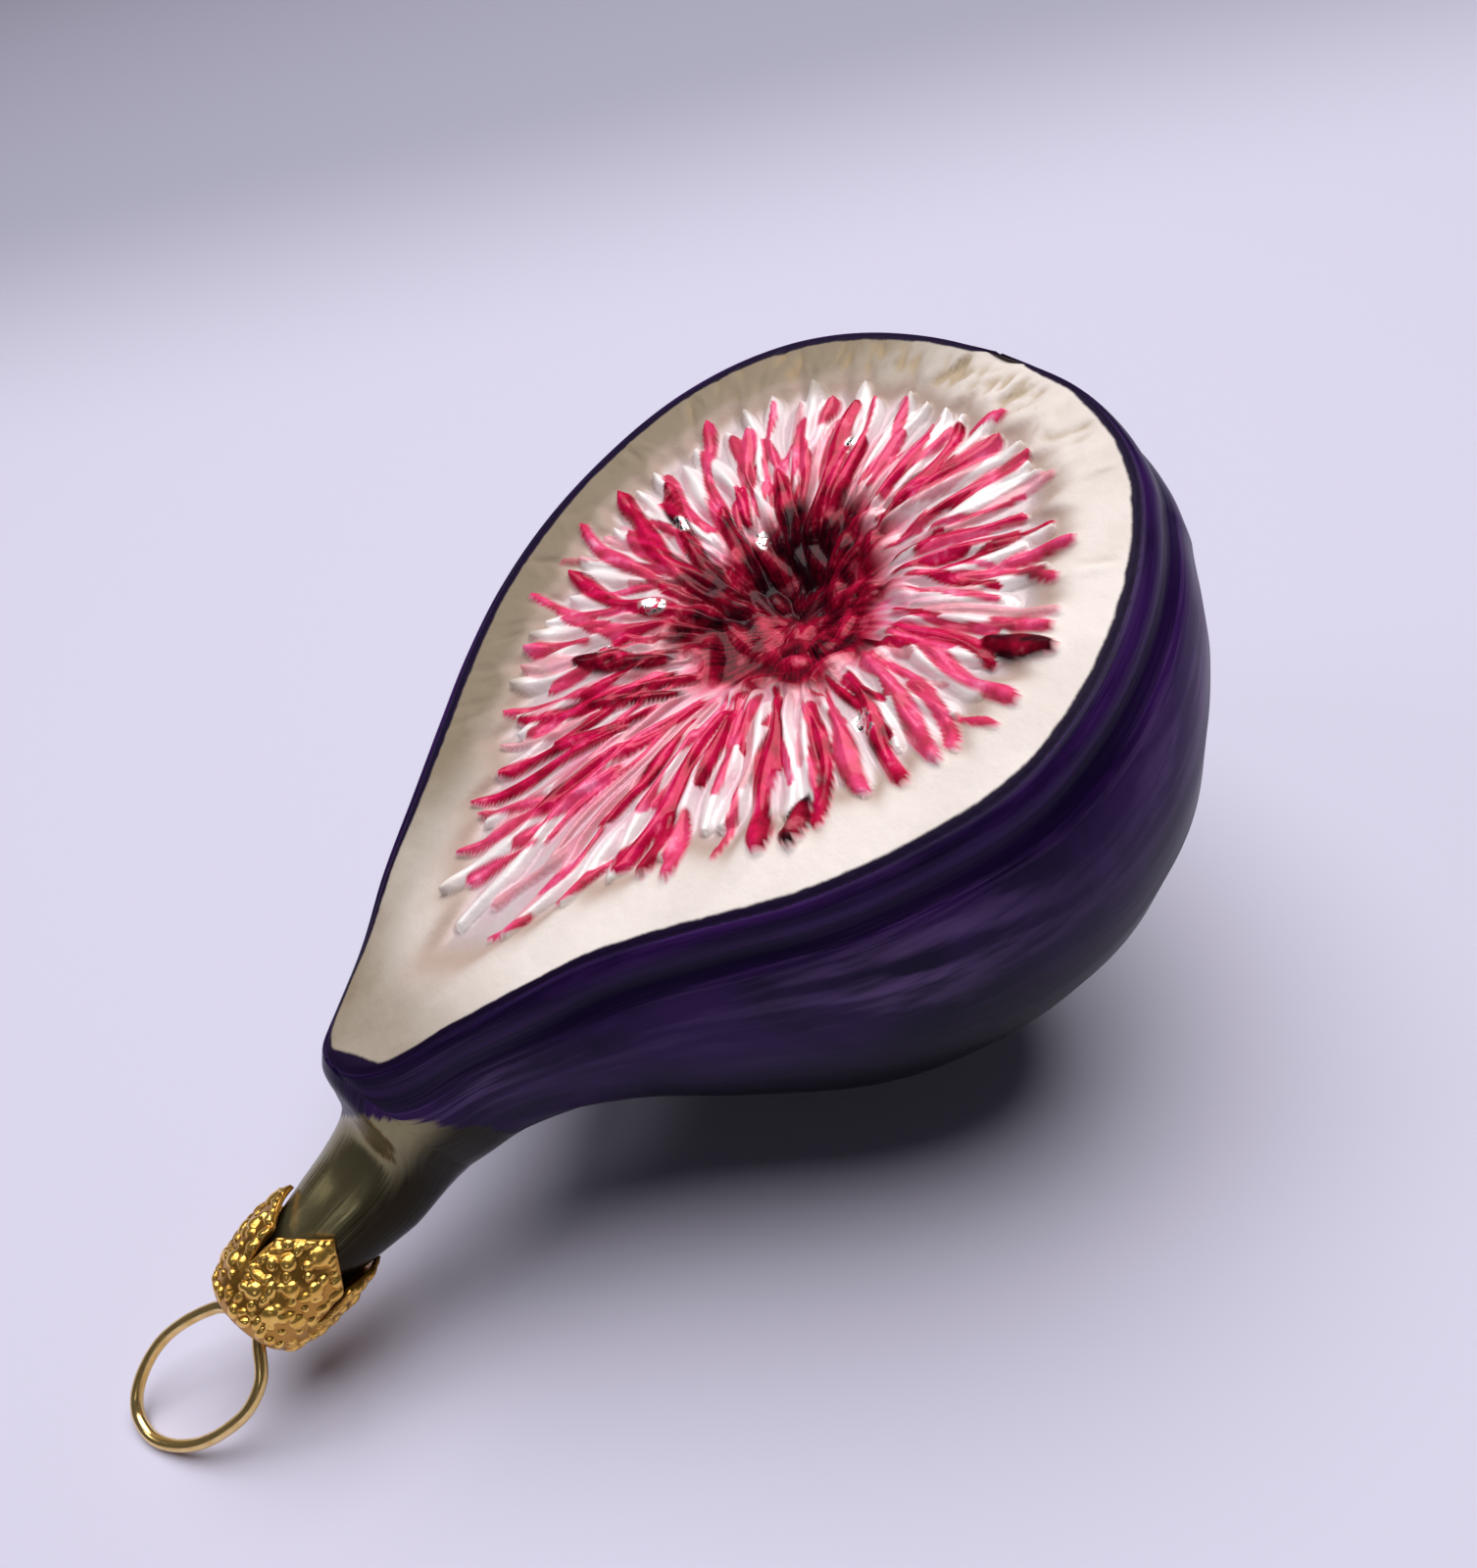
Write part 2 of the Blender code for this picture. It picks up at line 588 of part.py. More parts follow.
def make_wire(parent, rest_level):
    up = table_up()
    wanted = rest_level + WIRE_RADIUS + LOOP_CLEARANCE
    low, high = math.radians(-30), math.radians(60)
    for _ in range(40):
        pitch = (low + high) / 2
        lowest = min(point.dot(up) for point in wire_line(pitch))
        if lowest > wanted:
            low = pitch
        else:
            high = pitch
    line = wire_line(pitch)
    curve = bpy.data.curves.new("wire_loop", "CURVE")
    curve.dimensions = "3D"
    spline = curve.splines.new("POLY")
    spline.points.add(len(line) - 1)
    for point, place in zip(spline.points, line):
        point.co = (*place, 1.0)
    curve.bevel_depth = WIRE_RADIUS
    curve.bevel_resolution = 2
    curve.use_fill_caps = True
    curve.materials.append(material("gilt_wire", (0.78, 0.55, 0.22), 1.0, 0.18))
    wire = bpy.data.objects.new("wire_loop", curve)
    bpy.context.collection.objects.link(wire)
    wire.parent = parent


def lay_down(ornament):
    """Tip the ornament into its lying pose, with the origin at the bottom middle of its box."""
    tip = Matrix.Rotation(-FACE_TILT, 4, "Y")
    ornament.matrix_world = tip
    bpy.context.view_layer.update()
    depsgraph = bpy.context.evaluated_depsgraph_get()
    corners = []
    for obj in ornament.children:
        if not obj.hide_render:
            shown = obj.evaluated_get(depsgraph)
            corners += [shown.matrix_world @ vert.co for vert in shown.to_mesh().vertices]
            shown.to_mesh_clear()
    spread = np.array(corners)
    low, high = spread.min(axis=0), spread.max(axis=0)
    shift = Vector((-(low[0] + high[0]) / 2, -(low[1] + high[1]) / 2, -low[2]))
    ornament.matrix_world = Matrix.Translation(shift) @ tip


def main():
    for obj in list(bpy.data.objects):
        bpy.data.objects.remove(obj, do_unlink=True)
    ornament = bpy.data.objects.new("ornament", None)
    bpy.context.collection.objects.link(ornament)
    rest_level = make_glass(ornament)
    make_cap(ornament)
    make_wire(ornament, rest_level)
    lay_down(ornament)


main()
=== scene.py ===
# %% [markdown]
# # A blown-glass fig
#
# This ornament is a fig cut in half lengthwise, blown from glass in a mould, silvered, and painted
# with lacquers. A stamped gold cap sits on its neck, and a wire loop springs into the neck to hang
# it by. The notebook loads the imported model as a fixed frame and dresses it: one fine mesh for the
# glass, one for the cap and one for the wire, each over the plain solid that it stands for.

# %% Load the frame
import math
import random

import bmesh
import bpy
import numpy as np
from mathutils import Matrix, Vector


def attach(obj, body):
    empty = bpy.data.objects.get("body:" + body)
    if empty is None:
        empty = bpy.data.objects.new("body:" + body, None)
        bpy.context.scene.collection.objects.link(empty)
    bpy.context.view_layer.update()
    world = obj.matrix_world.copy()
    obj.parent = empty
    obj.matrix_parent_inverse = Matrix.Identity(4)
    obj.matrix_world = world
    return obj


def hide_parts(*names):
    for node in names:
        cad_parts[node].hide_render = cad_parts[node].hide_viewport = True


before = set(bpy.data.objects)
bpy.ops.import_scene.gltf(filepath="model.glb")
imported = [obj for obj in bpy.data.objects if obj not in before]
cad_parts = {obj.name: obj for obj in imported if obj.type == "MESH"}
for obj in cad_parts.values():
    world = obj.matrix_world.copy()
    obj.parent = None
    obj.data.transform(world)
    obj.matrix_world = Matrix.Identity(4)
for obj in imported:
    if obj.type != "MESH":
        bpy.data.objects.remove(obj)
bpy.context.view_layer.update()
MM = 0.001


def in_mm(rows):
    """A table of sizes that is written in millimetres, as the metres that Blender wants."""
    return [tuple(value * MM for value in row) for row in rows]


# %% [markdown]
# ## The ornament's own frame
#
# A fig is easiest to draw with its cut face flat: X runs along the face from the neck end, +Y is
# the left side, and Z is up out of the face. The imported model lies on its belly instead, so its
# face is tipped by 19 degrees. One matrix carries every point that is drawn here into that pose.
# Each object stays at the origin, with its place in its mesh.

# %% The lying pose
FACE_TILT = math.radians(19)
FACE_ORIGIN = Vector((-27.13, 0.43, 28.72)) * MM
LYING = Matrix.Translation(FACE_ORIGIN) @ Matrix.Rotation(-FACE_TILT, 4, "Y")


def link_object(name, data):
    """Put data into the scene as an object at the origin."""
    made = bpy.data.objects.new(name, data)
    bpy.context.scene.collection.objects.link(made)
    return made


def object_from(bm, name):
    """Turn a finished bmesh into an object."""
    mesh = bpy.data.meshes.new(name)
    bm.to_mesh(mesh)
    bm.free()
    return link_object(name, mesh)


print("the face's near end sits", round(FACE_ORIGIN.z / MM, 1), "mm above the table")

# %% [markdown]
# ## Camera
#
# The photo looks down on the ornament from its near right, about 40 degrees below level, with the
# phone turned a little. A long side of 1600 pixels and a focal length of 1509 pixels make a lens of
# about 34 mm on a 36 mm sensor. The camera is turned by its azimuth, its slope and its roll.

# %% Place the camera
PHOTO_LONG_SIDE = 1600
FOCAL_PIXELS = 1509
SENSOR = 36.0
CAMERA_PLACE = Vector((-37.09, -83.36, 112.97)) * MM
CAMERA_AZIMUTH = math.radians(58.48)
CAMERA_SLOPE = math.radians(40.48)
CAMERA_ROLL = math.radians(-12.17)

camera_data = bpy.data.cameras.new("photo_camera")
camera_data.sensor_width = SENSOR
camera_data.lens = FOCAL_PIXELS * SENSOR / PHOTO_LONG_SIDE
camera_data.clip_start = 5 * MM
camera = link_object("photo_camera", camera_data)
azimuth = Matrix.Rotation(CAMERA_AZIMUTH - math.pi / 2, 4, "Z")
slope = Matrix.Rotation(math.pi / 2 - CAMERA_SLOPE, 4, "X")
roll = Matrix.Rotation(CAMERA_ROLL, 4, "Z")
camera.matrix_world = Matrix.Translation(CAMERA_PLACE) @ (azimuth @ slope) @ roll
bpy.context.scene.camera = camera
bpy.context.scene.view_settings.view_transform = "Standard"
print("lens:", round(camera_data.lens, 2), "mm")

# %% [markdown]
# ## Helpers for materials
#
# Every finish here is a Principled shader fed by masks. Most masks are painted on the mesh as
# attributes, because the paint follows the relief: a red strand is red exactly where it is raised.
# These helpers keep the node wiring short: a number sets a socket, and an output is linked to it.
# A socket is named by its words, or by its place as s0, s1 and so on where names repeat.


# %% Wire nodes with few words
def add_node(tree, kind, setup=None, **values):
    made = tree.nodes.new(kind)
    for name, value in (setup or {}).items():
        setattr(made, name, value)
    for name, value in values.items():
        key = int(name[1:]) if name[0] == "s" and name[1:].isdigit() else name.replace("_", " ")
        socket = made.inputs[key]
        if isinstance(value, bpy.types.NodeSocket):
            tree.links.new(value, socket)
        else:
            socket.default_value = value
    return made


def attribute(tree, name):
    return add_node(tree, "ShaderNodeAttribute", {"attribute_name": name}).outputs["Fac"]


def calculate(tree, operation, first, second=0.5, third=0.5, clamp=False):
    setup = {"operation": operation, "use_clamp": clamp}
    return add_node(tree, "ShaderNodeMath", setup, s0=first, s1=second, s2=third).outputs[0]


def ease(tree, value, low, high, low_out=0.0, high_out=1.0):
    """A mask that goes smoothly from low_out to high_out while value goes from low to high."""
    setup = {"interpolation_type": "SMOOTHSTEP"}
    values = {"From_Min": low, "From_Max": high, "To_Min": low_out, "To_Max": high_out}
    return add_node(tree, "ShaderNodeMapRange", setup, Value=value, **values).outputs["Result"]


def mix_colours(tree, share, first, second):
    first = (*first, 1) if isinstance(first, tuple) and len(first) == 3 else first
    second = (*second, 1) if isinstance(second, tuple) and len(second) == 3 else second
    setup = {"data_type": "RGBA"}
    return add_node(tree, "ShaderNodeMix", setup, s0=share, s6=first, s7=second).outputs[2]


def colour_ramp(tree, value, stops):
    ramp = add_node(tree, "ShaderNodeValToRGB", Fac=value)
    elements = ramp.color_ramp.elements
    while len(elements) < len(stops):
        elements.new(0.5)
    for element, (position, colour) in zip(elements, stops):
        element.position = position
        element.color = (*colour, 1)
    return ramp.outputs["Color"]


def new_material(name):
    made = bpy.data.materials.new(name)
    made.use_nodes = True
    return made, made.node_tree, made.node_tree.nodes["Principled BSDF"]


# %% [markdown]
# ## A shared effect: brushed mottle
#
# Lacquer is brushed on by hand, so each coat is a little uneven along the brush's way. One node
# group makes that unevenness: a noise, as a mask between two levels and as a height. The cut face,
# the skin and the gold place this group with their own scale and detail. The skin stretches it
# along the brush's way, on coordinates that follow the skin.


# %% Build the brushed mottle group
def make_mottle_group():
    group = bpy.data.node_groups.new("brushed_mottle", "ShaderNodeTree")
    group.interface.new_socket("Vector", in_out="INPUT", socket_type="NodeSocketVector")
    for name in ("Scale", "Low", "High", "Detail"):
        group.interface.new_socket(name, in_out="INPUT", socket_type="NodeSocketFloat")
    for name in ("Mask", "Height"):
        group.interface.new_socket(name, in_out="OUTPUT", socket_type="NodeSocketFloat")
    entry = group.nodes.new("NodeGroupInput")
    leave = group.nodes.new("NodeGroupOutput")
    noise = add_node(
        group, "ShaderNodeTexNoise", Vector=entry.outputs["Vector"],
        Scale=entry.outputs["Scale"], Detail=entry.outputs["Detail"], Roughness=0.6,
    )
    shaped = add_node(
        group, "ShaderNodeMapRange", {"interpolation_type": "SMOOTHSTEP"},
        Value=noise.outputs["Fac"], From_Min=entry.outputs["Low"], From_Max=entry.outputs["High"],
    )
    group.links.new(shaped.outputs["Result"], leave.inputs["Mask"])
    group.links.new(noise.outputs["Fac"], leave.inputs["Height"])
    return group


MOTTLE = make_mottle_group()
EVEN = (1, 1, 1)


def mottle(tree, longer, scale, low, high, detail=5.0, coordinates=None):
    """The group's mask and height, drawn out along each axis, on object coordinates or others."""
    coordinates = coordinates or add_node(tree, "ShaderNodeTexCoord").outputs["Object"]
    mapping = add_node(
        tree, "ShaderNodeMapping", {"vector_type": "TEXTURE"}, Vector=coordinates, Scale=longer
    )
    made = add_node(
        tree, "ShaderNodeGroup", {"node_tree": MOTTLE}, Vector=mapping.outputs["Vector"],
        Scale=scale, Low=low, High=high, Detail=detail,
    )
    return made.outputs["Mask"], made.outputs["Height"]


print("shared groups:", [group.name for group in bpy.data.node_groups])

# %% [markdown]
# ## The outline of the cut face
#
# The cut face of a halved fig is a drop: pointed at the stem, round at the eye. A few half widths
# along its length are enough, with one smooth curve through them. The pit in the middle of the
# flesh is the natural centre of the pattern, so spokes run from the pit to even steps of the curve.

# %% Draw the drop
FACE_NEAR = 0.3 * MM
FACE_FAR = 80.4 * MM
# Each station is (mm along the face, half width on the left, half width on the right).
FACE_STATIONS = in_mm([
    (0.9, 1.8, 2.3),
    (3.4, 3.7, 4.7),
    (8.0, 6.5, 6.6),
    (13.0, 10.4, 9.0),
    (19.0, 14.3, 12.1),
    (26.0, 19.0, 17.7),
    (32.0, 22.9, 22.8),
    (39.0, 26.4, 26.9),
    (47.0, 28.7, 29.9),
    (55.0, 29.2, 29.7),
    (63.0, 28.1, 27.2),
    (69.2, 25.4, 23.7),
    (74.2, 21.2, 19.4),
    (77.8, 15.3, 13.9),
    (79.9, 7.8, 7.9),
])
PIT_AT = 52.0 * MM              # along the face
PIT_ASIDE = 0.3 * MM            # to its left
SPOKES = 700
OUTLINE_STEPS = 24              # points of the smooth outline between two stations


def smoothstep(low, high, value):
    share = np.clip((value - low) / (high - low), 0, 1)
    return share * share * (3 - 2 * share)


def curve_through(points, steps, closed=False):
    """Points on a smooth curve through the given ones, its tangents set by the chords."""
    points = [Vector(p) for p in points]
    count = len(points)
    out = []
    for span in range(count if closed else count - 1):
        if closed:
            before, start, end, after = (points[(span + k) % count] for k in (-1, 0, 1, 2))
        else:
            start, end = points[span], points[span + 1]
            before = points[span - 1] if span else 2 * start - end
            after = points[span + 2] if span + 2 < count else 2 * end - start
        chord = (end - start).length
        tangent_start = (end - before) * chord / (chord + (start - before).length)
        tangent_end = (after - start) * chord / (chord + (after - end).length)
        for step in range(steps):
            t = step / steps
            out.append(
                start * (2 * t ** 3 - 3 * t ** 2 + 1)
                + tangent_start * (t ** 3 - 2 * t ** 2 + t)
                + end * (3 * t ** 2 - 2 * t ** 3)
                + tangent_end * (t ** 3 - t ** 2)
            )
    if not closed:
        out.append(points[-1])
    return out


def face_outline():
    """Angle and reach from the pit of each spoke's end: far end first, left, near end, right."""
    left = [(x, wide) for x, wide, other in FACE_STATIONS]
    right = [(x, -wide) for x, other, wide in FACE_STATIONS]
    ring = [(FACE_FAR, 0.0)] + left[::-1] + [(FACE_NEAR, 0.0)] + right
    dense = np.array(curve_through(ring, OUTLINE_STEPS, closed=True))
    dense = dense - np.array([PIT_AT, PIT_ASIDE])
    dense = np.vstack([dense, dense[:1]])
    length = np.concatenate([[0], np.cumsum(np.hypot(*np.diff(dense, axis=0).T))])
    near_end = int(np.argmin(dense[:, 0]))
    half = SPOKES // 2
    places = np.concatenate([
        np.linspace(0, length[near_end], half, endpoint=False),
        np.linspace(length[near_end], length[-1], half, endpoint=False),
    ])
    x, y = np.interp(places, length, dense[:, 0]), np.interp(places, length, dense[:, 1])
    return np.unwrap(np.arctan2(y, x)), np.hypot(x, y)


SPOKE_ANGLES, SPOKE_REACHES = face_outline()
nearest, furthest = SPOKE_REACHES.min() / MM, SPOKE_REACHES.max() / MM
print("reach from the pit:", round(nearest, 1), "to", round(furthest, 1), "mm")

# %% [markdown]
# ## The strands of the flesh
#
# A fig's flesh is a ring of threads that point to its middle. The mould gives each one a rounded
# ridge with a blunt tip, and a brush has gone over most of them with clear red lacquer. The ridges
# that show best are listed: where the tip points, how much the ridge swings on its way, where it
# starts and stops, how wide it is, and its lacquer. Thinner painted ridges and bare ones fill the
# gaps, strewn with a seeded draw.

# %% List the painted strands
# Each is (tip angle, swing, start mm, stop mm, width mm, lacquer), with angles in degrees.
STRANDS = [
    (1, 8, 12, 20, 0.9, "pink"),
    (12, 6, 14, 22, 0.9, "pink"),
    (18, 2, 8, 17, 1.2, "red"),
    (24, -2, 7, 21, 1.8, "red"),
    (32, -1, 19, 22, 1.4, "pink"),
    (37, 3, 9, 16, 1.0, "pink"),
    (41, 3, 13, 22, 0.7, "mauve"),
    (44, 0, 6, 14, 1.6, "red"),
    (49, 3, 14, 19, 0.8, "pink"),
    (55, -1, 14, 21, 1.4, "pink"),
    (58, 1, 17, 21, 1.0, "pink"),
    (59, -6, 10, 14, 1.1, "red"),
    (63, -9, 12, 24, 1.0, "pink"),
    (69, -14, 5, 13, 1.2, "dark"),
    (78, -24, 5, 20, 1.4, "dark"),
    (88, -20, 6, 23, 1.6, "red"),
    (95, -18, 7, 19, 1.4, "pink"),
    (99, -18, 8, 24, 1.1, "pink"),
    (109, 3, 16, 24, 0.5, "mauve"),
    (113, -20, 6, 22, 1.4, "red"),
    (119, -20, 8, 25, 0.8, "pink"),
    (126, -18, 9, 21, 0.8, "pink"),
    (133, -3, 18, 24, 1.2, "pink"),
    (138, -8, 14, 24, 1.7, "mauve"),
    (143, -10, 11, 19, 1.9, "dark"),
    (148, -12, 12, 26, 0.8, "pink"),
    (152, -14, 10, 25, 1.1, "red"),
    (156, -6, 18, 27, 0.8, "mauve"),
    (158, -12, 12, 19, 1.1, "dark"),
    (161, -10, 14, 28, 1.0, "red"),
    (164, -7, 17, 31, 1.0, "red"),
    (167, -5, 26, 31, 0.9, "pink"),
    (170, -10, 20, 34, 1.1, "pink"),
    (174, -8, 11, 27, 0.9, "red"),
    (176, -3, 29, 35, 0.8, "pink"),
    (182, -8, 16, 35, 0.9, "mauve"),
    (185, -3, 34, 37, 0.9, "pink"),
    (187, -3, 25, 32, 0.8, "pink"),
    (189, -2, 13, 25, 1.0, "red"),
    (192, -3, 27, 32, 0.9, "pink"),
    (198, -4, 12, 28, 1.5, "red"),
    (203, 1, 22, 28, 1.5, "red"),
    (207, 1, 22, 28, 1.1, "pink"),
    (214, -3, 20, 26, 0.5, "pink"),
    (217, 2, 11, 20, 0.9, "mauve"),
    (222, -2, 11, 26, 1.4, "red"),
    (229, -2, 22, 26, 1.8, "dark"),
    (234, -5, 13, 25, 1.1, "red"),
    (243, 1, 15, 24, 1.4, "pink"),
    (249, -4, 12, 25, 1.2, "red"),
    (256, -6, 12, 25, 1.2, "pink"),
    (260, -5, 17, 25, 1.2, "pink"),
    (266, 2, 23, 26, 0.7, "pink"),
    (271, -5, 12, 26, 1.1, "pink"),
    (278, -3, 12, 22, 0.9, "red"),
    (283, 1, 20, 26, 1.8, "dark"),
    (287, -1, 20, 25, 1.2, "pink"),
    (291, 3, 11, 25, 0.9, "mauve"),
    (298, -4, 15, 24, 0.8, "pink"),
    (306, 3, 19, 25, 1.2, "pink"),
    (312, 6, 14, 23, 0.9, "red"),
    (318, 3, 12, 20, 0.8, "pink"),
    (324, 2, 12, 24, 0.8, "mauve"),
    (333, 3, 12, 23, 1.2, "pink"),
    (341, -3, 13, 22, 1.7, "pink"),
    (347, -2, 21, 24, 0.9, "pink"),
    (353, 10, 10, 21, 1.2, "red"),
]
# How deep each lacquer lies, from 0 for a pale wash to 1 for black, and how much it covers.
LACQUER_DEPTH = {"pink": 0.23, "red": 0.42, "dark": 0.70, "mauve": 0.24, "bare": 0.0}
LACQUER_COVER = {"pink": 0.95, "red": 1.0, "dark": 1.0, "mauve": 0.55, "bare": 0.0}
print(len(STRANDS), "painted strands")

# %% [markdown]
# ## One ridge
#
# A ridge could be a tube laid on the face, but glass blown into a mould is one skin. So every form
# here is a height over the face, worked out for all its points at once. A ridge's height falls off
# as a circle's does across its width, and it narrows to a round tip.

# %% Shape one ridge
FIELD_EDGE = 0.77               # where the flesh ends, as a share of the way to the edge
RIDGE_WIDEN = 1.60              # drawn wider than listed, because its foot fades out
RIDGE_HEIGHT = 0.62             # of a ridge's width
RIDGE_WAVE = 0.3 * MM           # how far a ridge strays to the side
BARE_RIDGES = 60
THIN_STRANDS = 110
FULL_TURN = 6.28
draw = random.Random(11)


def wrap(angle):
    return (angle + np.pi) % (2 * np.pi) - np.pi


def reach_at(angle):
    """Distance from the pit to the edge of the face at an angle."""
    return np.interp(angle % (2 * np.pi), SPOKE_ANGLES, SPOKE_REACHES, period=2 * np.pi)


def bare_ridges():
    """Thin ridges without lacquer, at even turns round the pit with a little chance."""
    made = []
    for index in range(BARE_RIDGES):
        degrees = (index + draw.uniform(-0.3, 0.3)) * 360 / BARE_RIDGES
        border = FIELD_EDGE * float(reach_at(math.radians(degrees))) / MM
        stop = border - draw.uniform(-0.6, 2.2)
        start = draw.uniform(0.4, 0.60) * stop
        made.append((degrees, draw.uniform(-6, 6), start, stop, draw.uniform(0.9, 1.5), "bare"))
    return made


def thin_strands():
    """Thin painted ridges that fill the gaps between the listed ones."""
    made = []
    for index in range(THIN_STRANDS):
        degrees = (index + draw.uniform(-0.4, 0.4)) * 360 / THIN_STRANDS
        border = FIELD_EDGE * float(reach_at(math.radians(degrees))) / MM
        start, stop = draw.uniform(9.5, 13.0), border * draw.uniform(0.55, 0.97)
        lacquer = draw.choice(["pink", "pink", "red", "mauve"])
        made.append((degrees, draw.uniform(-6, 5), start, stop, draw.uniform(0.42, 0.78), lacquer))
    return made


def ridge_shape(strand, radius, angle):
    """Height of one ridge over the whole face, and nearness to its crest, from 0 to 1."""
    tip, swing, start, stop, width, lacquer = strand
    start, stop, half = start * MM, stop * MM, RIDGE_WIDEN * width * MM / 2
    phase = draw.uniform(0, FULL_TURN)
    way = np.clip((stop - radius) / (stop - start), 0, 1)
    line = math.radians(tip) - math.radians(swing) * way
    wave = RIDGE_WAVE * np.sin(radius / (1.9 * MM) + phase)
    side = np.abs(radius * wrap(angle - line) + wave)
    swollen = 1 + 0.18 * np.sin(radius / (1.3 * MM) + 2 * phase)
    half = half * swollen * (0.66 + 0.34 * smoothstep(start, start + 0.6 * (stop - start), radius))
    past_tip = np.clip((radius - (stop - 1.5 * half)) / (1.5 * half), 0, 1)
    half = half * np.sqrt(np.maximum(1e-4, 1 - past_tip ** 2))
    inside = (radius < stop) * smoothstep(start - 1.0 * MM, start + 0.8 * MM, radius)
    crest = np.clip(1 - side / half, 0, 1) * inside
    rounded = np.sin(0.5 * np.pi * crest) ** 1.2
    return RIDGE_HEIGHT * width * MM * rounded, crest


print(THIN_STRANDS, "thin strands and", BARE_RIDGES, "bare ridges fill the gaps")

# %% [markdown]
# ## Folds of the pit and wrinkles of the rim
#
# The middle of the flesh is a knot of short folds, and the cream near the far end is creased. Both
# are strewn with a seeded draw, each fold or wrinkle as a long soft dome with its own turn.

# %% Fold the pit and crease the rim
PIT_FOLDS = 84
FOLDS_CROSS_AT = math.radians(215)  # the near side of the pit, where folds run across
WRINKLES = 260


def pit_folds(radius, angle):
    """Folds in the pit: they run to the middle on its far side and across on its near side."""
    x, y = radius * np.cos(angle), radius * np.sin(angle)
    height = np.zeros_like(radius)
    shade = np.zeros_like(radius)
    for _ in range(PIT_FOLDS):
        away, turn = draw.uniform(0.5, 12.5) * MM, draw.uniform(0, FULL_TURN)
        across_it = 0.5 * math.pi if math.cos(turn - FOLDS_CROSS_AT) > 0.2 else 0.0
        lean = turn + across_it + draw.gauss(0, 0.45)
        long, wide = draw.uniform(1.6, 3.4) * MM, draw.uniform(0.9, 1.4) * MM
        dx, dy = x - away * math.cos(turn), y - away * math.sin(turn)
        along = (dx * math.cos(lean) + dy * math.sin(lean)) / long
        across = (-dx * math.sin(lean) + dy * math.cos(lean)) / wide
        bump = np.clip(1 - along ** 2 - across ** 2, 0, 1)
        height = np.maximum(height, bump ** 1.5 * wide * 0.7)
        shade = np.maximum(shade, bump * draw.uniform(0.0, 1.0))
    return height, shade


def rim_wrinkles(radius, angle, reach):
    """Short radial wrinkles in the cream near the far end of the face."""
    height = np.zeros_like(radius)
    for _ in range(WRINKLES):
        turn = math.radians(draw.choice([draw.gauss(2, 22), draw.uniform(-40, 150)]))
        share = draw.uniform(0.81, 0.96)
        long, wide = draw.uniform(0.8, 3.0) * MM, draw.uniform(0.22, 0.60) * MM
        lean = draw.gauss(0, 0.4)
        along, across = radius - share * reach, radius * wrap(angle - turn)
        turned = (along * math.cos(lean) + across * math.sin(lean)) / long
        crossed = (across * math.cos(lean) - along * math.sin(lean)) / wide
        height += draw.uniform(-1.0, 0.8) * np.exp(-(turned ** 2) - crossed ** 2)
    return height


print(PIT_FOLDS, "folds in the pit,", WRINKLES, "wrinkles on the rim")

# %% [markdown]
# ## Hollows, mirrors and streaks
#
# Some strands end in a small sunken hollow where dark lacquer has pooled. In a few spots the paint
# is missing and the silvering shows. Streaks run outwards, as a nearly dry brush leaves them.

# %% Spots with a shape of their own
# Each hollow is (angle, mm from the pit, mm across, mm deep), each mirror the first three of these.
HOLLOWS = [
    (283, 23.8, 1.5, 0.5),
    (227, 23.6, 1.5, 0.5),
    (147, 15.5, 1.4, 0.4),
    (276, 21.5, 1.1, 0.4),
    (293, 20.6, 1.2, 0.4),
]
MIRRORS = [
    (249, 17.3, 3.0),
    (86, 14.3, 2.4),
    (61, 8.2, 2.2),
    (125, 11.8, 2.6),
    (141, 16.2, 2.4),
    (20, 16.0, 2.0),
]
SPOT_STRETCH = 1.7              # how much longer a spot is than it is wide
BRUSH_HAIRS = 9


def spot_distance(radius, angle, spot):
    """How far each point lies from a spot, as a share of the spot's own size."""
    degrees, away, size = spot[:3]
    turn = math.radians(degrees)
    dx = radius * np.cos(angle) - away * MM * math.cos(turn)
    dy = radius * np.sin(angle) - away * MM * math.sin(turn)
    outwards = dx * math.cos(turn) + dy * math.sin(turn)
    sideways = dy * math.cos(turn) - dx * math.sin(turn)
    return np.hypot(outwards, SPOT_STRETCH * sideways) / (size * MM / 2)


def brush_streaks(radius, angle):
    """Uneven streaks from -1 to 1 that run out from the pit."""
    chance = random.Random(23)
    streaks = np.zeros_like(radius)
    for _ in range(BRUSH_HAIRS):
        turns, drift = chance.randint(30, 110), chance.uniform(-0.5, 0.5)
        phase = chance.uniform(0, FULL_TURN)
        streaks += np.sin(turns * angle + drift * radius / MM + phase)
    return np.clip(streaks / 4, -1, 1)


print(len(HOLLOWS), "hollows and", len(MIRRORS), "mirrors")

# %% [markdown]
# ## The lacquer
#
# The brush covers the ridges' crests, and the lacquer pools at their feet, where it is deeper.
# Where ridges meet, the one with the most paint has most of the say. The heart round the pit is
# lacquered all over, and deepest in one dark spot. Ridges are kept as a sum of high powers, whose
# root is a soft maximum, so they melt together as blown glass does.

# %% Lacquer the ridges and the heart
MELT = 4                        # a higher power keeps the ridges more apart
PAINT_SAY = 5
HEART_REACH = 12.0 * MM
DARK_AT = (3.6 * MM, 2.6 * MM)  # the darkest spot of the heart, from the pit
DARK_SIZE = 3.6 * MM


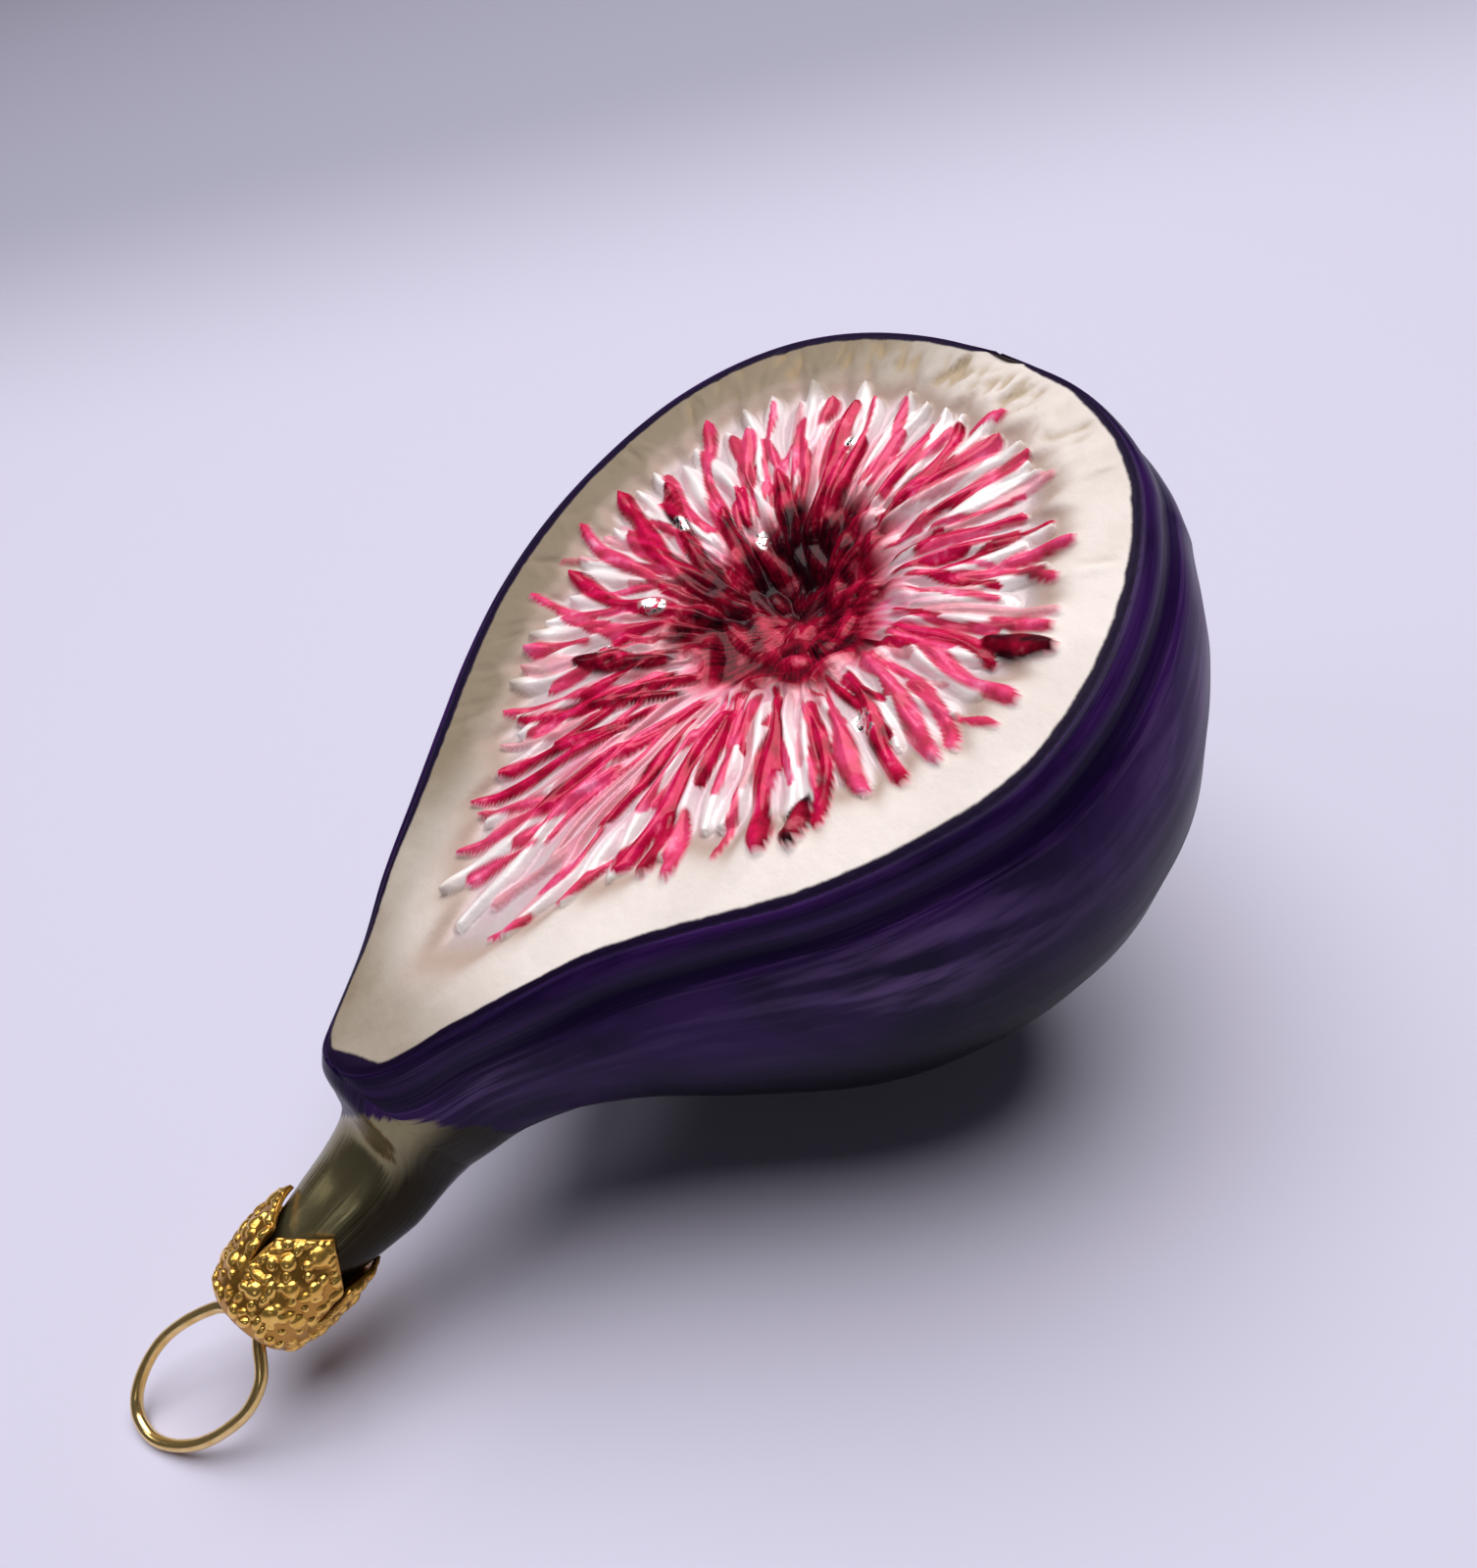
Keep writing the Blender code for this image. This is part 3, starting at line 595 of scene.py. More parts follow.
def lacquered_ridges(radius, angle):
    """The ridges' heights in mm as a sum of powers, and the cover and depth of their lacquer."""
    joined = np.zeros_like(radius)
    cover = np.zeros_like(radius)
    depth = np.zeros_like(radius)
    weight = np.zeros_like(radius)
    for strand in STRANDS + thin_strands() + bare_ridges():
        height, crest = ridge_shape(strand, radius, angle)
        joined += (height / MM) ** MELT
        lacquer = strand[-1]
        paint = LACQUER_COVER[lacquer] * smoothstep(0.02, 0.30, crest)
        pooled = LACQUER_DEPTH[lacquer] + 0.16 * (1 - smoothstep(0.0, 0.7, crest))
        depth += pooled * paint**PAINT_SAY
        weight += paint**PAINT_SAY
        cover = np.maximum(cover, paint)
    return joined, cover, depth / np.maximum(weight, 1e-6)


def lacquered_heart(radius, angle, x, y, shade):
    """How far each point belongs to the heart, and how deep its lacquer is there."""
    uneven = 1 + 0.10 * np.sin(3 * angle + 1) + 0.07 * np.sin(11 * angle)
    uneven += 0.05 * np.sin(19 * angle + 2)
    share = radius / (HEART_REACH * uneven)
    dark_x, dark_y = x - PIT_AT - DARK_AT[0], y - PIT_ASIDE - DARK_AT[1]
    darkness = np.exp(-((np.hypot(dark_x, dark_y) / DARK_SIZE) ** 2))
    depth = 0.79 - 0.30 * shade + 0.24 * darkness
    depth -= 0.20 * smoothstep(0.45, 0.95, share)
    return 1 - smoothstep(0.70, 1.05, share), np.maximum(0.56, depth)


print("the heart is lacquered", round(HEART_REACH / MM, 1), "mm round the pit")

# %% [markdown]
# ## All heights and paint of the face
#
# The relief is one height for each point: the sunken pit, the dip of the flesh under the rim, the
# melted ridges, the wrinkles, and the rounding where the face rolls over its edge. The same sums
# give the masks that the paint follows.

# %% Work out relief and paint
PIT_DEPTH = 5.0 * MM
PIT_SPREAD = 0.24
FIELD_DIP = 1.0 * MM            # how far the flesh lies under the rim
FIELD_SLOPE = 0.07
HOLLOW_DEPTH = 0.84             # of lacquer in a hollow
WRINKLE_HEIGHT = 0.28 * MM
NOTCH_ASIDE = -0.7 * MM         # a small notch in the far edge, where the mould's halves meet
NOTCH_WIDTH = 1.7 * MM
NOTCH_DEPTH = 0.55 * MM
EDGE_DROP = 0.35 * MM
EDGE_WIDTH = 0.9 * MM


def face_relief(radius, angle):
    """Height of the face and its paint masks at every (radius, angle) about the pit."""
    reach = reach_at(angle)
    share = radius / reach
    edge = reach - radius
    x, y = PIT_AT + radius * np.cos(angle), PIT_ASIDE + radius * np.sin(angle)
    ground = -PIT_DEPTH * np.exp(-((share / PIT_SPREAD) ** 2))
    ragged = 0.014 * np.sin(angle * 23) + 0.012 * np.sin(angle * 41 + 1)
    ragged += 0.008 * np.sin(angle * 67 + 2)
    field = 1 - smoothstep(FIELD_EDGE - FIELD_SLOPE, FIELD_EDGE + FIELD_SLOPE, share + ragged)
    ground -= FIELD_DIP * field
    joined, cover, depth = lacquered_ridges(radius, angle)
    folds, shade = pit_folds(radius, angle)
    heart, heart_depth = lacquered_heart(radius, angle, x, y, shade)
    streaks = brush_streaks(radius, angle)
    joined += (folds / MM) ** MELT
    depth = (depth + 0.10 * streaks) * (1 - heart) + (heart_depth + 0.08 * streaks) * heart
    cover = np.maximum(cover, heart)
    relief = joined ** (1 / MELT) * MM
    for spot in HOLLOWS:
        sunk = np.exp(-(spot_distance(radius, angle, spot) ** 2))
        relief -= spot[3] * MM * sunk
        depth = depth + (HOLLOW_DEPTH - depth) * smoothstep(0.3, 0.8, sunk)
    mirror = np.zeros_like(radius)
    for spot in MIRRORS:
        mirror = np.maximum(mirror, 1 - smoothstep(0.7, 1.1, spot_distance(radius, angle, spot)))
    # Painted shadow: a tan band on the low ground round the ridges' tips, at the edge of the flesh.
    border = np.exp(-(((share + ragged - FIELD_EDGE) / 0.05) ** 2))
    border *= 1 - smoothstep(0.05, 0.6, relief / MM)
    window = smoothstep(0.78, 0.86, share) * smoothstep(0.5, 2.5, edge / MM)
    wrinkle = rim_wrinkles(radius, angle, reach) * window
    notch = np.exp(-(((y - NOTCH_ASIDE) / NOTCH_WIDTH) ** 2))
    notch *= smoothstep(3.0, 0.0, edge / MM) * (x > PIT_AT)
    rounding = EDGE_DROP * np.clip(1 - edge / EDGE_WIDTH, 0, 1) ** 2
    # The cream turns khaki: on the left side, most near the edge, as painted shade; at the two ends
    # as a tint of its own.
    left = smoothstep(-4.0, 20.0, y / MM)
    khaki = left * (0.60 + 0.40 * smoothstep(12.0, 3.0, edge / MM))
    khaki = khaki + 0.15 * smoothstep(60.0, 79.0, x / MM)
    khaki = khaki + 0.75 * smoothstep(16.0, 4.0, x / MM)
    neck_line = (x / MM - 1.4) - 0.41 * (0.7 - y / MM) + 0.9    # where the cream stops
    masks = {
        "lacquer": cover,
        "lacquer_depth": depth,
        "flesh": field,
        "edge_mm": np.minimum(edge / MM + 3.0 * notch - 0.6 * left, neck_line),
        "crest_mm": relief / MM,
        "tan": np.clip(border, 0, 1),
        "khaki": np.clip(khaki, 0, 1) * (1 - field),
        # painted shade: golden brown in the troughs of the far end's wrinkles
        "golden": 0.75 * smoothstep(0.1, -1.0, wrinkle) * smoothstep(55.0, 72.0, x / MM),
        "mirror": mirror,
        "wash": field * smoothstep(0.82, 0.30, share) * np.clip(0.55 + 0.60 * streaks, 0, 1),
    }
    return ground + relief + WRINKLE_HEIGHT * wrinkle - NOTCH_DEPTH * notch - rounding, masks


# %% [markdown]
# ## Rings on the face
#
# The face is a sheet of quads that a grid operator makes, with its rows bent into rings round the
# pit and its columns into spokes. Rings stand closest over the flesh, whose ridges are fine, and in
# the last two millimetres, where the face rolls over into the skin.

# %% Bend a grid into the face
# Each run of rings is (from, to, count), with shares of the way from the pit to the edge.
RING_RUNS = [(0.0, 0.45, 40), (0.45, 0.80, 44), (0.80, 0.925, 8)]
EDGE_RINGS_MM = [1.9, 1.5, 1.15, 0.85, 0.6, 0.4, 0.2, 0.0]


def face_places():
    """Radius and angle of every grid point on the face, ring by ring."""
    runs = [np.linspace(start, stop, count, endpoint=False) for start, stop, count in RING_RUNS]
    angles = np.append(SPOKE_ANGLES, SPOKE_ANGLES[0] + 2 * np.pi)
    reaches = np.append(SPOKE_REACHES, SPOKE_REACHES[0])
    radius = [share * reaches for share in np.concatenate(runs)]
    radius = np.array(radius + [reaches - inset * MM for inset in EDGE_RINGS_MM])
    return radius, np.tile(angles, (len(radius), 1))


def add_sheet(bm, places, masks, finish):
    """A grid whose points move to places[row][column], with masks on its points."""
    rows, columns = places.shape[0] - 1, places.shape[1] - 1
    layers = {name: bm.verts.layers.float[name] for name in masks}
    grid = bmesh.ops.create_grid(bm, x_segments=columns, y_segments=rows, size=1.0)
    for vert in grid["verts"]:
        column = round((vert.co.x + 1) / 2 * columns)
        row = round((vert.co.y + 1) / 2 * rows)
        vert.co = places[row, column]
        for name, layer in layers.items():
            vert[layer] = masks[name][row, column]
    for face in {face for vert in grid["verts"] for face in vert.link_faces}:
        face.material_index = finish
        face.smooth = True


radius, angle = face_places()
height, face_masks = face_relief(radius, angle)
face_points = np.stack(
    [PIT_AT + radius * np.cos(angle), PIT_ASIDE + radius * np.sin(angle), height], axis=-1
)
print("face sheet:", face_points.shape[:2], "lowest", round(height.min() / MM, 2), "mm")

# %% [markdown]
# ## The skin under the face
#
# Under the face the glass swells into a belly. Each row of the skin is part of an oval from a
# point of the face's left edge, under the belly, to the matching point of its right edge. A few
# depths and widths along the body are enough, with a smooth curve through them. At the far end the
# rows close on a point, and at the near end they run on as rings, down the shoulder and the neck.

# %% Ovals of the belly
# Each station is (mm along the face, depth under the face, widest half width).
BELLY_STATIONS = in_mm([
    (0.3, 18.9, 5.7),
    (6.0, 20.2, 7.3),
    (13.0, 24.2, 12.9),
    (20.0, 32.5, 18.8),
    (28.0, 39.6, 25.2),
    (36.0, 42.9, 29.9),
    (44.0, 43.6, 32.7),
    (52.0, 41.8, 33.7),
    (60.0, 37.3, 32.6),
    (68.0, 30.0, 28.2),
    (74.0, 23.4, 22.4),
])
BELLY_CURVE = np.array(curve_through(BELLY_STATIONS, 12))
outline = face_points[-1, :-1, :2]
left_half, right_half = outline[1:SPOKES // 2], outline[:SPOKES // 2:-1]
row_places = (left_half[:, 0] + right_half[:, 0]) / 2
row_halves = (left_half[:, 1] - right_half[:, 1]) / 2
END_HALF = float(np.interp(-BELLY_STATIONS[-1][0], -row_places, row_halves))


def section_sizes(x, half_width):
    """Half width, centre depth and half height of the belly's oval at one place along the body."""
    last_x, last_depth, last_wide = BELLY_STATIONS[-1]
    if x < last_x:
        depth = float(np.interp(x, BELLY_CURVE[:, 0], BELLY_CURVE[:, 1]))
        wide = float(np.interp(x, BELLY_CURVE[:, 0], BELLY_CURVE[:, 2]))
    else:
        depth = last_depth * half_width / END_HALF
        wide = last_wide * half_width / END_HALF
    wide = max(wide, half_width * 1.005)
    lean = math.sqrt(1 - (half_width / wide) ** 2)
    half_high = depth / (1 + lean)
    return wide, depth - half_high, half_high


print("the belly is", round(BELLY_CURVE[:, 1].max() / MM, 1), "mm deep under the face")

# %% [markdown]
# ## One row of skin
#
# Each row walks round its oval. Its columns stand close by the rim, where the lip and the groove
# need them, and even under the belly. The far end also swells a little past the face's edge.

# %% Bend one row of skin
FAR_END_BULGE = 2.0 * MM
LIP_WIDTH = 2.6 * MM
LIP_PROUD = 0.25 * MM
GROOVE_AT = 3.7 * MM            # down the skin from the edge
GROOVE_HALF_WIDTH = 1.1 * MM
GROOVE_DEPTH = 0.55 * MM
RIB_COUNT = 9
RIB_HEIGHT = 0.22 * MM
SKIN_COLUMNS = 51
OVAL_SAMPLES = 481
# The columns by the rim, in mm down the skin from the edge.
NEAR_COLUMNS = [0.0, 0.25, 0.55, 0.95, 1.4, 1.9, 2.4, 2.9, 3.3, 3.7, 4.1, 4.6, 5.3, 6.2]


def skin_row(left, right):
    """Points of one row of skin, their mm down the skin, and their angles round the oval."""
    half_width = (left[1] - right[1]) / 2
    middle = (left[1] + right[1]) / 2
    wide, centre, high = section_sizes((left[0] + right[0]) / 2, half_width)
    open_angle = math.acos(half_width / wide)
    angles = np.linspace(-open_angle, math.pi + open_angle, OVAL_SAMPLES)
    steps = np.hypot(np.diff(wide * np.cos(angles)), np.diff(high * np.sin(angles)))
    lengths = np.concatenate([[0], np.cumsum(steps)])
    total = lengths[-1]
    near = np.array(NEAR_COLUMNS) * MM
    shrink = min(1.0, total * 0.4 / near[-1])
    near = near * shrink
    between = np.linspace(near[-1], total - near[-1], SKIN_COLUMNS - 2 * len(near) + 2)[1:-1]
    places = np.concatenate([near, between, total - near[::-1]])
    spot = np.interp(places, lengths, angles)
    from_edge = np.minimum(places, total - places)
    share = places / total
    relief = shrink * smoothstep(1.0 * MM, 8.0 * MM, left[0])
    groove = GROOVE_DEPTH * np.exp(-(((from_edge / shrink - GROOVE_AT) / GROOVE_HALF_WIDTH) ** 2))
    lip = LIP_PROUD * np.sin(np.pi * np.minimum(1.0, from_edge / shrink / (1.2 * LIP_WIDTH)))
    rib = RIB_HEIGHT * 0.5 * (1 - np.cos(2 * np.pi * RIB_COUNT * share))
    rib = rib * smoothstep(GROOVE_AT, 2.5 * GROOVE_AT, from_edge)
    out = (lip - groove + rib) * relief
    rounding = EDGE_DROP * np.clip(1 - from_edge / (EDGE_WIDTH * shrink), 0, 1) ** 2
    swell = FAR_END_BULGE * smoothstep(0.5 * FACE_FAR, FACE_FAR, left[0])
    down = np.clip((centre + high * np.sin(spot)) / BELLY_STATIONS[-1][1], 0, 1)
    x = left[0] + (right[0] - left[0]) * share + swell * np.sin(np.pi * down)
    y = middle + (wide + out) * np.cos(spot)
    z = -centre - (high + out) * np.sin(spot) - rounding
    return np.stack([x, y, z], axis=-1), from_edge / MM, spot


print("each row of skin has", SKIN_COLUMNS, "points")

# %% [markdown]
# ## Shoulder and neck
#
# The neck of a blown ornament is the pipe it was blown on: a plain tube that widens into the body.
# Its rings are given by a top, a bottom and a half width, with smooth curves between them. Their
# points are spaced as the last row of skin is, so no quad is twisted where they meet. The last ring
# is closed by one flat face, which the metal cap hides.

# %% Rings of the shoulder and the neck
# Each shoulder ring is (top x, top z, low x, low z, half width), each neck ring (x, z, radius).
SHOULDER_RINGS = in_mm([
    (0.3, 0.0, 0.3, -18.9, 5.7),
    (-0.9, -1.5, -1.0, -18.8, 5.4),
    (-1.8, -4.2, -2.3, -18.6, 5.2),
    (-3.0, -6.8, -3.9, -18.4, 5.1),
])
NECK_LINE = in_mm([
    (-6.0, -13.3, 5.0),
    (-9.2, -13.3, 4.5),
    (-12.4, -13.3, 4.0),
    (-15.8, -13.3, 3.6),
    (-19.0, -13.4, 3.3),
])
NECK_STEPS = 7
NECK_MM = 30.0                  # the neck counts as this far down the skin


def neck_axis():
    """Direction of the neck out of its mouth, and the direction across it that points up."""
    (x0, z0, r0), (x1, z1, r1) = NECK_LINE[-2:]
    out = Vector((x1 - x0, 0, z1 - z0)).normalized()
    return out, Vector((0, 1, 0)).cross(out)


def neck_rings(spot):
    """Rings from the shoulder to the mouth, with points spaced as the angles in spot are."""
    up = neck_axis()[1]
    named = [
        (Vector((top_x, 0, top_z)), Vector((low_x, 0, low_z)), half)
        for top_x, top_z, low_x, low_z, half in SHOULDER_RINGS
    ]
    for x, z, radius in NECK_LINE:
        named.append((Vector((x, 0, z)) + up * radius, Vector((x, 0, z)) - up * radius, radius))
    tops = curve_through([top for top, bottom, half in named], NECK_STEPS)
    bottoms = curve_through([bottom for top, bottom, half in named], NECK_STEPS)
    steps = np.arange(len(tops)) / NECK_STEPS
    halves = np.interp(steps, range(len(named)), [half for top, bottom, half in named])
    rows = []
    turn = (spot - spot[0]) / (spot[-1] - spot[0]) * 2 * np.pi
    for top, bottom, half in zip(tops, bottoms, halves):
        centre, arm = np.array((top + bottom) / 2), np.array((top - bottom) / 2)
        side = np.stack([0 * turn, half * np.sin(turn), 0 * turn], axis=-1)
        rows.append(centre + np.outer(np.cos(turn), arm) + side)
    return rows


rows = [np.tile([*outline[0], -EDGE_DROP], (SKIN_COLUMNS, 1))]
edges = [np.zeros(SKIN_COLUMNS)]
for k in range(1, SPOKES // 2):
    points, from_edge, spot = skin_row(outline[k], outline[-k])
    rows.append(points)
    edges.append(from_edge)
necks = neck_rings(spot)
necks[0][:, 2] -= EDGE_DROP * np.clip(1 + necks[0][:, 2] / EDGE_WIDTH, 0, 1) ** 2
rows += necks
edges += [np.full(SKIN_COLUMNS, NECK_MM)] * len(necks)
skin_points = np.array(rows)
print("skin sheet:", skin_points.shape[:2])

# %% [markdown]
# ## Masks on the skin
#
# The skin's paint needs to know where it is: how far along and round the body a brush has gone,
# which patches were brushed lighter, how far the groove and the underside are, where painted shade
# darkens the underside and the neck, and where the purple gives way to the bronze of the neck. Each
# of these is one number at every point of the skin.

# %% Measure the skin for its paint
GIRTH_MM = 60.0                 # the skin's way round, as the brush strokes count it
BRUSH_SIDE_MM = 6.0
BRONZE_WAY = np.array([-0.80, -0.51, -0.30])    # the slanting line where the bronze starts
BRONZE_START_MM = 3.5
SHADE_WAY = np.array([0.0, -0.743, -0.648])     # right and down, where the neck is darker
SHADE_START_MM = 8.6
# Each patch of lighter strokes is (along mm, up mm, half length mm, half height mm, strength).
BRUSHED_PATCHES = [
    (35, -9, 9, 5, 0.9),
    (6, -5, 5, 4, 0.6),
    (64, -9, 12, 5, 0.6),
    (20, -7, 8, 3, 0.3),
    (50, -14, 7, 4, 0.4),
]
along_mm, up_mm = skin_points[..., 0] / MM, skin_points[..., 2] / MM
brushed = np.zeros_like(along_mm)
for at_x, at_z, long, high, strength in BRUSHED_PATCHES:
    spread = ((along_mm - at_x) / long) ** 2 + ((up_mm - at_z) / high) ** 2
    brushed = np.maximum(brushed, strength * np.exp(-spread))
round_share = np.tile(np.linspace(0, 1, SKIN_COLUMNS), (len(rows), 1))
skin_masks = {
    "brush_along": np.tile(skin_points[..., 0].mean(axis=1)[:, None] / MM, (1, SKIN_COLUMNS)),
    "brush_across": GIRTH_MM * np.minimum(round_share, 1 - round_share),
    "brush_side": BRUSH_SIDE_MM * np.sin(2 * np.pi * round_share),
    "brushed": brushed,
    # painted shade on the neck's right and lower side
    "neck_dark": smoothstep(-0.8, 2.2, skin_points @ SHADE_WAY / MM - SHADE_START_MM),
    # painted shade: darker towards the bottom of the belly
    "under": smoothstep(-10.0, -22.0, up_mm),
    "skin_edge_mm": np.array(edges),
    "bronze_from": skin_points @ BRONZE_WAY / MM - BRONZE_START_MM,
    "edge_mm": np.zeros_like(along_mm),
}
print("skin masks:", sorted(skin_masks))

# %% [markdown]
# ## One closed glass body
#
# Face and skin share their edge points, so merging them closes the body, and the mouth is filled.
# The flat spot under the belly, where the ornament rests, is cut as it is on the solid: a plane at
# the table's level takes off what hangs below it, and the hole is filled with one flat face.

# %% Join face and skin
FACE_FINISH, SKIN_FINISH = 0, 1
MERGE_WITHIN = 0.004 * MM
DISSOLVE_WITHIN = 0.002 * MM
CUT_WITHIN = 0.001 * MM


def count_triangles(piece):
    return sum(len(face.vertices) - 2 for face in piece.data.polygons)


def make_glass():
    bm = bmesh.new()
    for name in sorted({*face_masks, *skin_masks}):
        bm.verts.layers.float.new(name)
    add_sheet(bm, face_points, face_masks, FACE_FINISH)
    add_sheet(bm, skin_points, skin_masks, SKIN_FINISH)
    bmesh.ops.remove_doubles(bm, verts=bm.verts, dist=MERGE_WITHIN)
    bmesh.ops.dissolve_degenerate(bm, edges=bm.edges, dist=DISSOLVE_WITHIN)
    mouth = [edge for edge in bm.edges if edge.is_boundary]
    bmesh.ops.edgeloop_fill(bm, edges=mouth, mat_nr=SKIN_FINISH)
    bmesh.ops.transform(bm, matrix=LYING, verts=bm.verts)
    everything = bm.verts[:] + bm.edges[:] + bm.faces[:]
    cut = bmesh.ops.bisect_plane(
        bm, geom=everything, dist=CUT_WITHIN, plane_co=(0, 0, 0), plane_no=(0, 0, -1),
        clear_outer=True,
    )
    rim = [item for item in cut["geom_cut"] if isinstance(item, bmesh.types.BMEdge)]
    bmesh.ops.edgeloop_fill(bm, edges=rim, mat_nr=SKIN_FINISH)
    bmesh.ops.recalc_face_normals(bm, faces=bm.faces)
    open_edges = sum(not edge.is_manifold for edge in bm.edges)
    piece = object_from(bm, "fig_glass")
    print("glass:", count_triangles(piece), "triangles,", open_edges, "open edges")
    return piece


fig_glass = make_glass()
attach(fig_glass, "root")
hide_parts("glass_fig")

# %% [markdown]
# ## The finish of the cut face
#
# The rim of the face is coated with pearl cream, which is satin. Painted shade turns it khaki on the
# left and golden brown in the troughs of the wrinkles of the far end, and at the two ends the cream
# has a khaki tint of its own. The flesh is glossier: bare ridges are pearl white, with painted shade
# that greys the valleys between them and a painted tan shadow round the ridges' tips, and clear red
# lacquer gives pink where it is thin and nearly black where it pools in the pit. A few spots have no
# paint at all, so the silvered glass shows as small mirrors. One ramp of colours by depth serves all
# the reds.

# %% Paint the cut face
CREAM = (0.87, 0.79, 0.77)
KHAKI_TINT_AND_SHADE = (0.28, 0.225, 0.165)
PEARL = (0.93, 0.88, 0.90)
VALLEY_SHADE = (0.44, 0.33, 0.37)
TIP_SHADOW_TAN = (0.42, 0.30, 0.25)
GOLDEN_SHADE = (0.40, 0.29, 0.17)
SKIN_EDGE = (0.010, 0.004, 0.025)
LACQUER_STOPS = [
    (0.0, (0.85, 0.15, 0.36)),
    (0.18, (0.80, 0.030, 0.175)),
    (0.34, (0.64, 0.006, 0.085)),
    (0.50, (0.44, 0.004, 0.042)),
    (0.68, (0.20, 0.001, 0.016)),
    (0.85, (0.05, 0.0005, 0.006)),
    (1.0, (0.010, 0.0003, 0.003)),
]


def paint_face():
    made, tree, shader = new_material("cut_face_lacquer")
    lacquer = attribute(tree, "lacquer")
    depth = attribute(tree, "lacquer_depth")
    flesh = attribute(tree, "flesh")
    edge = attribute(tree, "edge_mm")
    patch_height = mottle(tree, EVEN, 420, 0.36, 0.64)[1]
    clouds = mottle(tree, EVEN, 90, 0.42, 0.62)[0]
    flecks = mottle(tree, EVEN, 1100, 0.46, 0.53)[0]
    mirror = calculate(tree, "MULTIPLY", attribute(tree, "mirror"), flecks)
    # Reds: the depth from the mesh, made a little uneven.
    varied = calculate(tree, "MULTIPLY_ADD", patch_height, 1.1, -0.52)
    red_depth = calculate(tree, "ADD", depth, varied, clamp=True)
    reds = colour_ramp(tree, red_depth, LACQUER_STOPS)
    # Rim: cream with painted shade, khaki on the left and gold in the wrinkles, and a khaki tint at
    # the ends.
    # Painted shade in khaki on the left rim, and a khaki tint at the ends.
    khaki = calculate(tree, "MULTIPLY_ADD", clouds, 0.12, attribute(tree, "khaki"), clamp=True)
    cream = mix_colours(tree, khaki, CREAM, KHAKI_TINT_AND_SHADE)
    # Painted shade in golden brown fills the troughs of the wrinkles.
    cream = mix_colours(tree, attribute(tree, "golden"), cream, GOLDEN_SHADE)
    # Flesh: pearl ridges, painted shade that greys the valleys, a painted tan shadow round the
    # ridges' tips, and a pale pink wash near the heart.
    bare = ease(tree, flesh, 0.45, 0.95)
    # Painted shade greys the pearl in the low ground between the ridges.
    valley_shade = ease(tree, attribute(tree, "crest_mm"), 0.0, 0.32, 0.62, 0.0)
    base = mix_colours(tree, bare, cream, mix_colours(tree, valley_shade, PEARL, VALLEY_SHADE))
    # Painted shadow in tan round the ridges' tips.
    tan = calculate(tree, "MULTIPLY", attribute(tree, "tan"), 0.85)
    base = mix_colours(tree, tan, base, TIP_SHADOW_TAN)
    uneven = calculate(tree, "MULTIPLY_ADD", clouds, 0.7, 0.3)
    washed = calculate(tree, "MULTIPLY", uneven, attribute(tree, "wash"))
    base = mix_colours(tree, washed, base, LACQUER_STOPS[0][1])
    # Over it go the reds, the bare mirrors and the purple edge.
    patchy = ease(tree, patch_height, 0.30, 0.42, 0.90, 1.0)
    cover = calculate(tree, "MULTIPLY", lacquer, patchy)
    base = mix_colours(tree, cover, base, reds)
    base = mix_colours(tree, mirror, base, PEARL)
    wavy = calculate(tree, "MULTIPLY_ADD", patch_height, 0.5, edge)
    purple = ease(tree, wavy, 0.80, 1.10, 1.0, 0.0)
    base = mix_colours(tree, purple, base, SKIN_EDGE)
    tree.links.new(base, shader.inputs["Base Color"])
    # The flesh is slightly metallic, from the silvering, and the mirrors wholly.
    metal = ease(tree, bare, 0.0, 1.0, 0.02, 0.08)
    metal = calculate(tree, "MAXIMUM", metal, mirror)
    metal = calculate(tree, "MULTIPLY", metal, calculate(tree, "SUBTRACT", 1.0, purple))
    tree.links.new(metal, shader.inputs["Metallic"])
    satin = ease(tree, bare, 0.0, 1.0, 0.50, 0.30)
    satin = calculate(tree, "MULTIPLY", satin, ease(tree, mirror, 0.0, 1.0, 1.0, 0.15))
    tree.links.new(satin, shader.inputs["Roughness"])
    shine = calculate(tree, "MULTIPLY", ease(tree, depth, 0.40, 0.75, 0.30, 0.12), bare)
    tree.links.new(shine, shader.inputs["Coat Weight"])
    shader.inputs["Coat Roughness"].default_value = 0.07
    shader.inputs["Specular IOR Level"].default_value = 0.08
    bump = add_node(tree, "ShaderNodeBump", Height=patch_height, Strength=0.3, Distance=0.0006)
    tree.links.new(bump.outputs["Normal"], shader.inputs["Normal"])
    return made


# %% [markdown]
# ## The finish of the skin and the neck
#
# The skin wears a dark purple lacquer, brushed lengthwise, so lighter strokes show through it. The
# strokes are noise on the brush's own coordinates, so they bend with the body. The lip by the cut
# has a painted highlight, and the groove and the underside have painted shade. On the neck the
# purple ends on a ragged line and an olive bronze metallic paint begins, with a smoother shine and
# painted shade on its right and lower side.

# %% Paint the skin and the neck
PLUM_SHADE_BLACK = (0.0026, 0.0018, 0.0075)
PLUM_DARK = (0.0075, 0.0025, 0.026)
PLUM = (0.034, 0.008, 0.085)
PLUM_LIGHT = (0.160, 0.090, 0.250)
OLIVE = (0.27, 0.235, 0.125)
OLIVE_SHADE = (0.022, 0.017, 0.009)
STROKE_LONGER = (16, 1, 4)      # along the body, round it, and to the side
CLOUD_LONGER = (2.2, 1, 2)


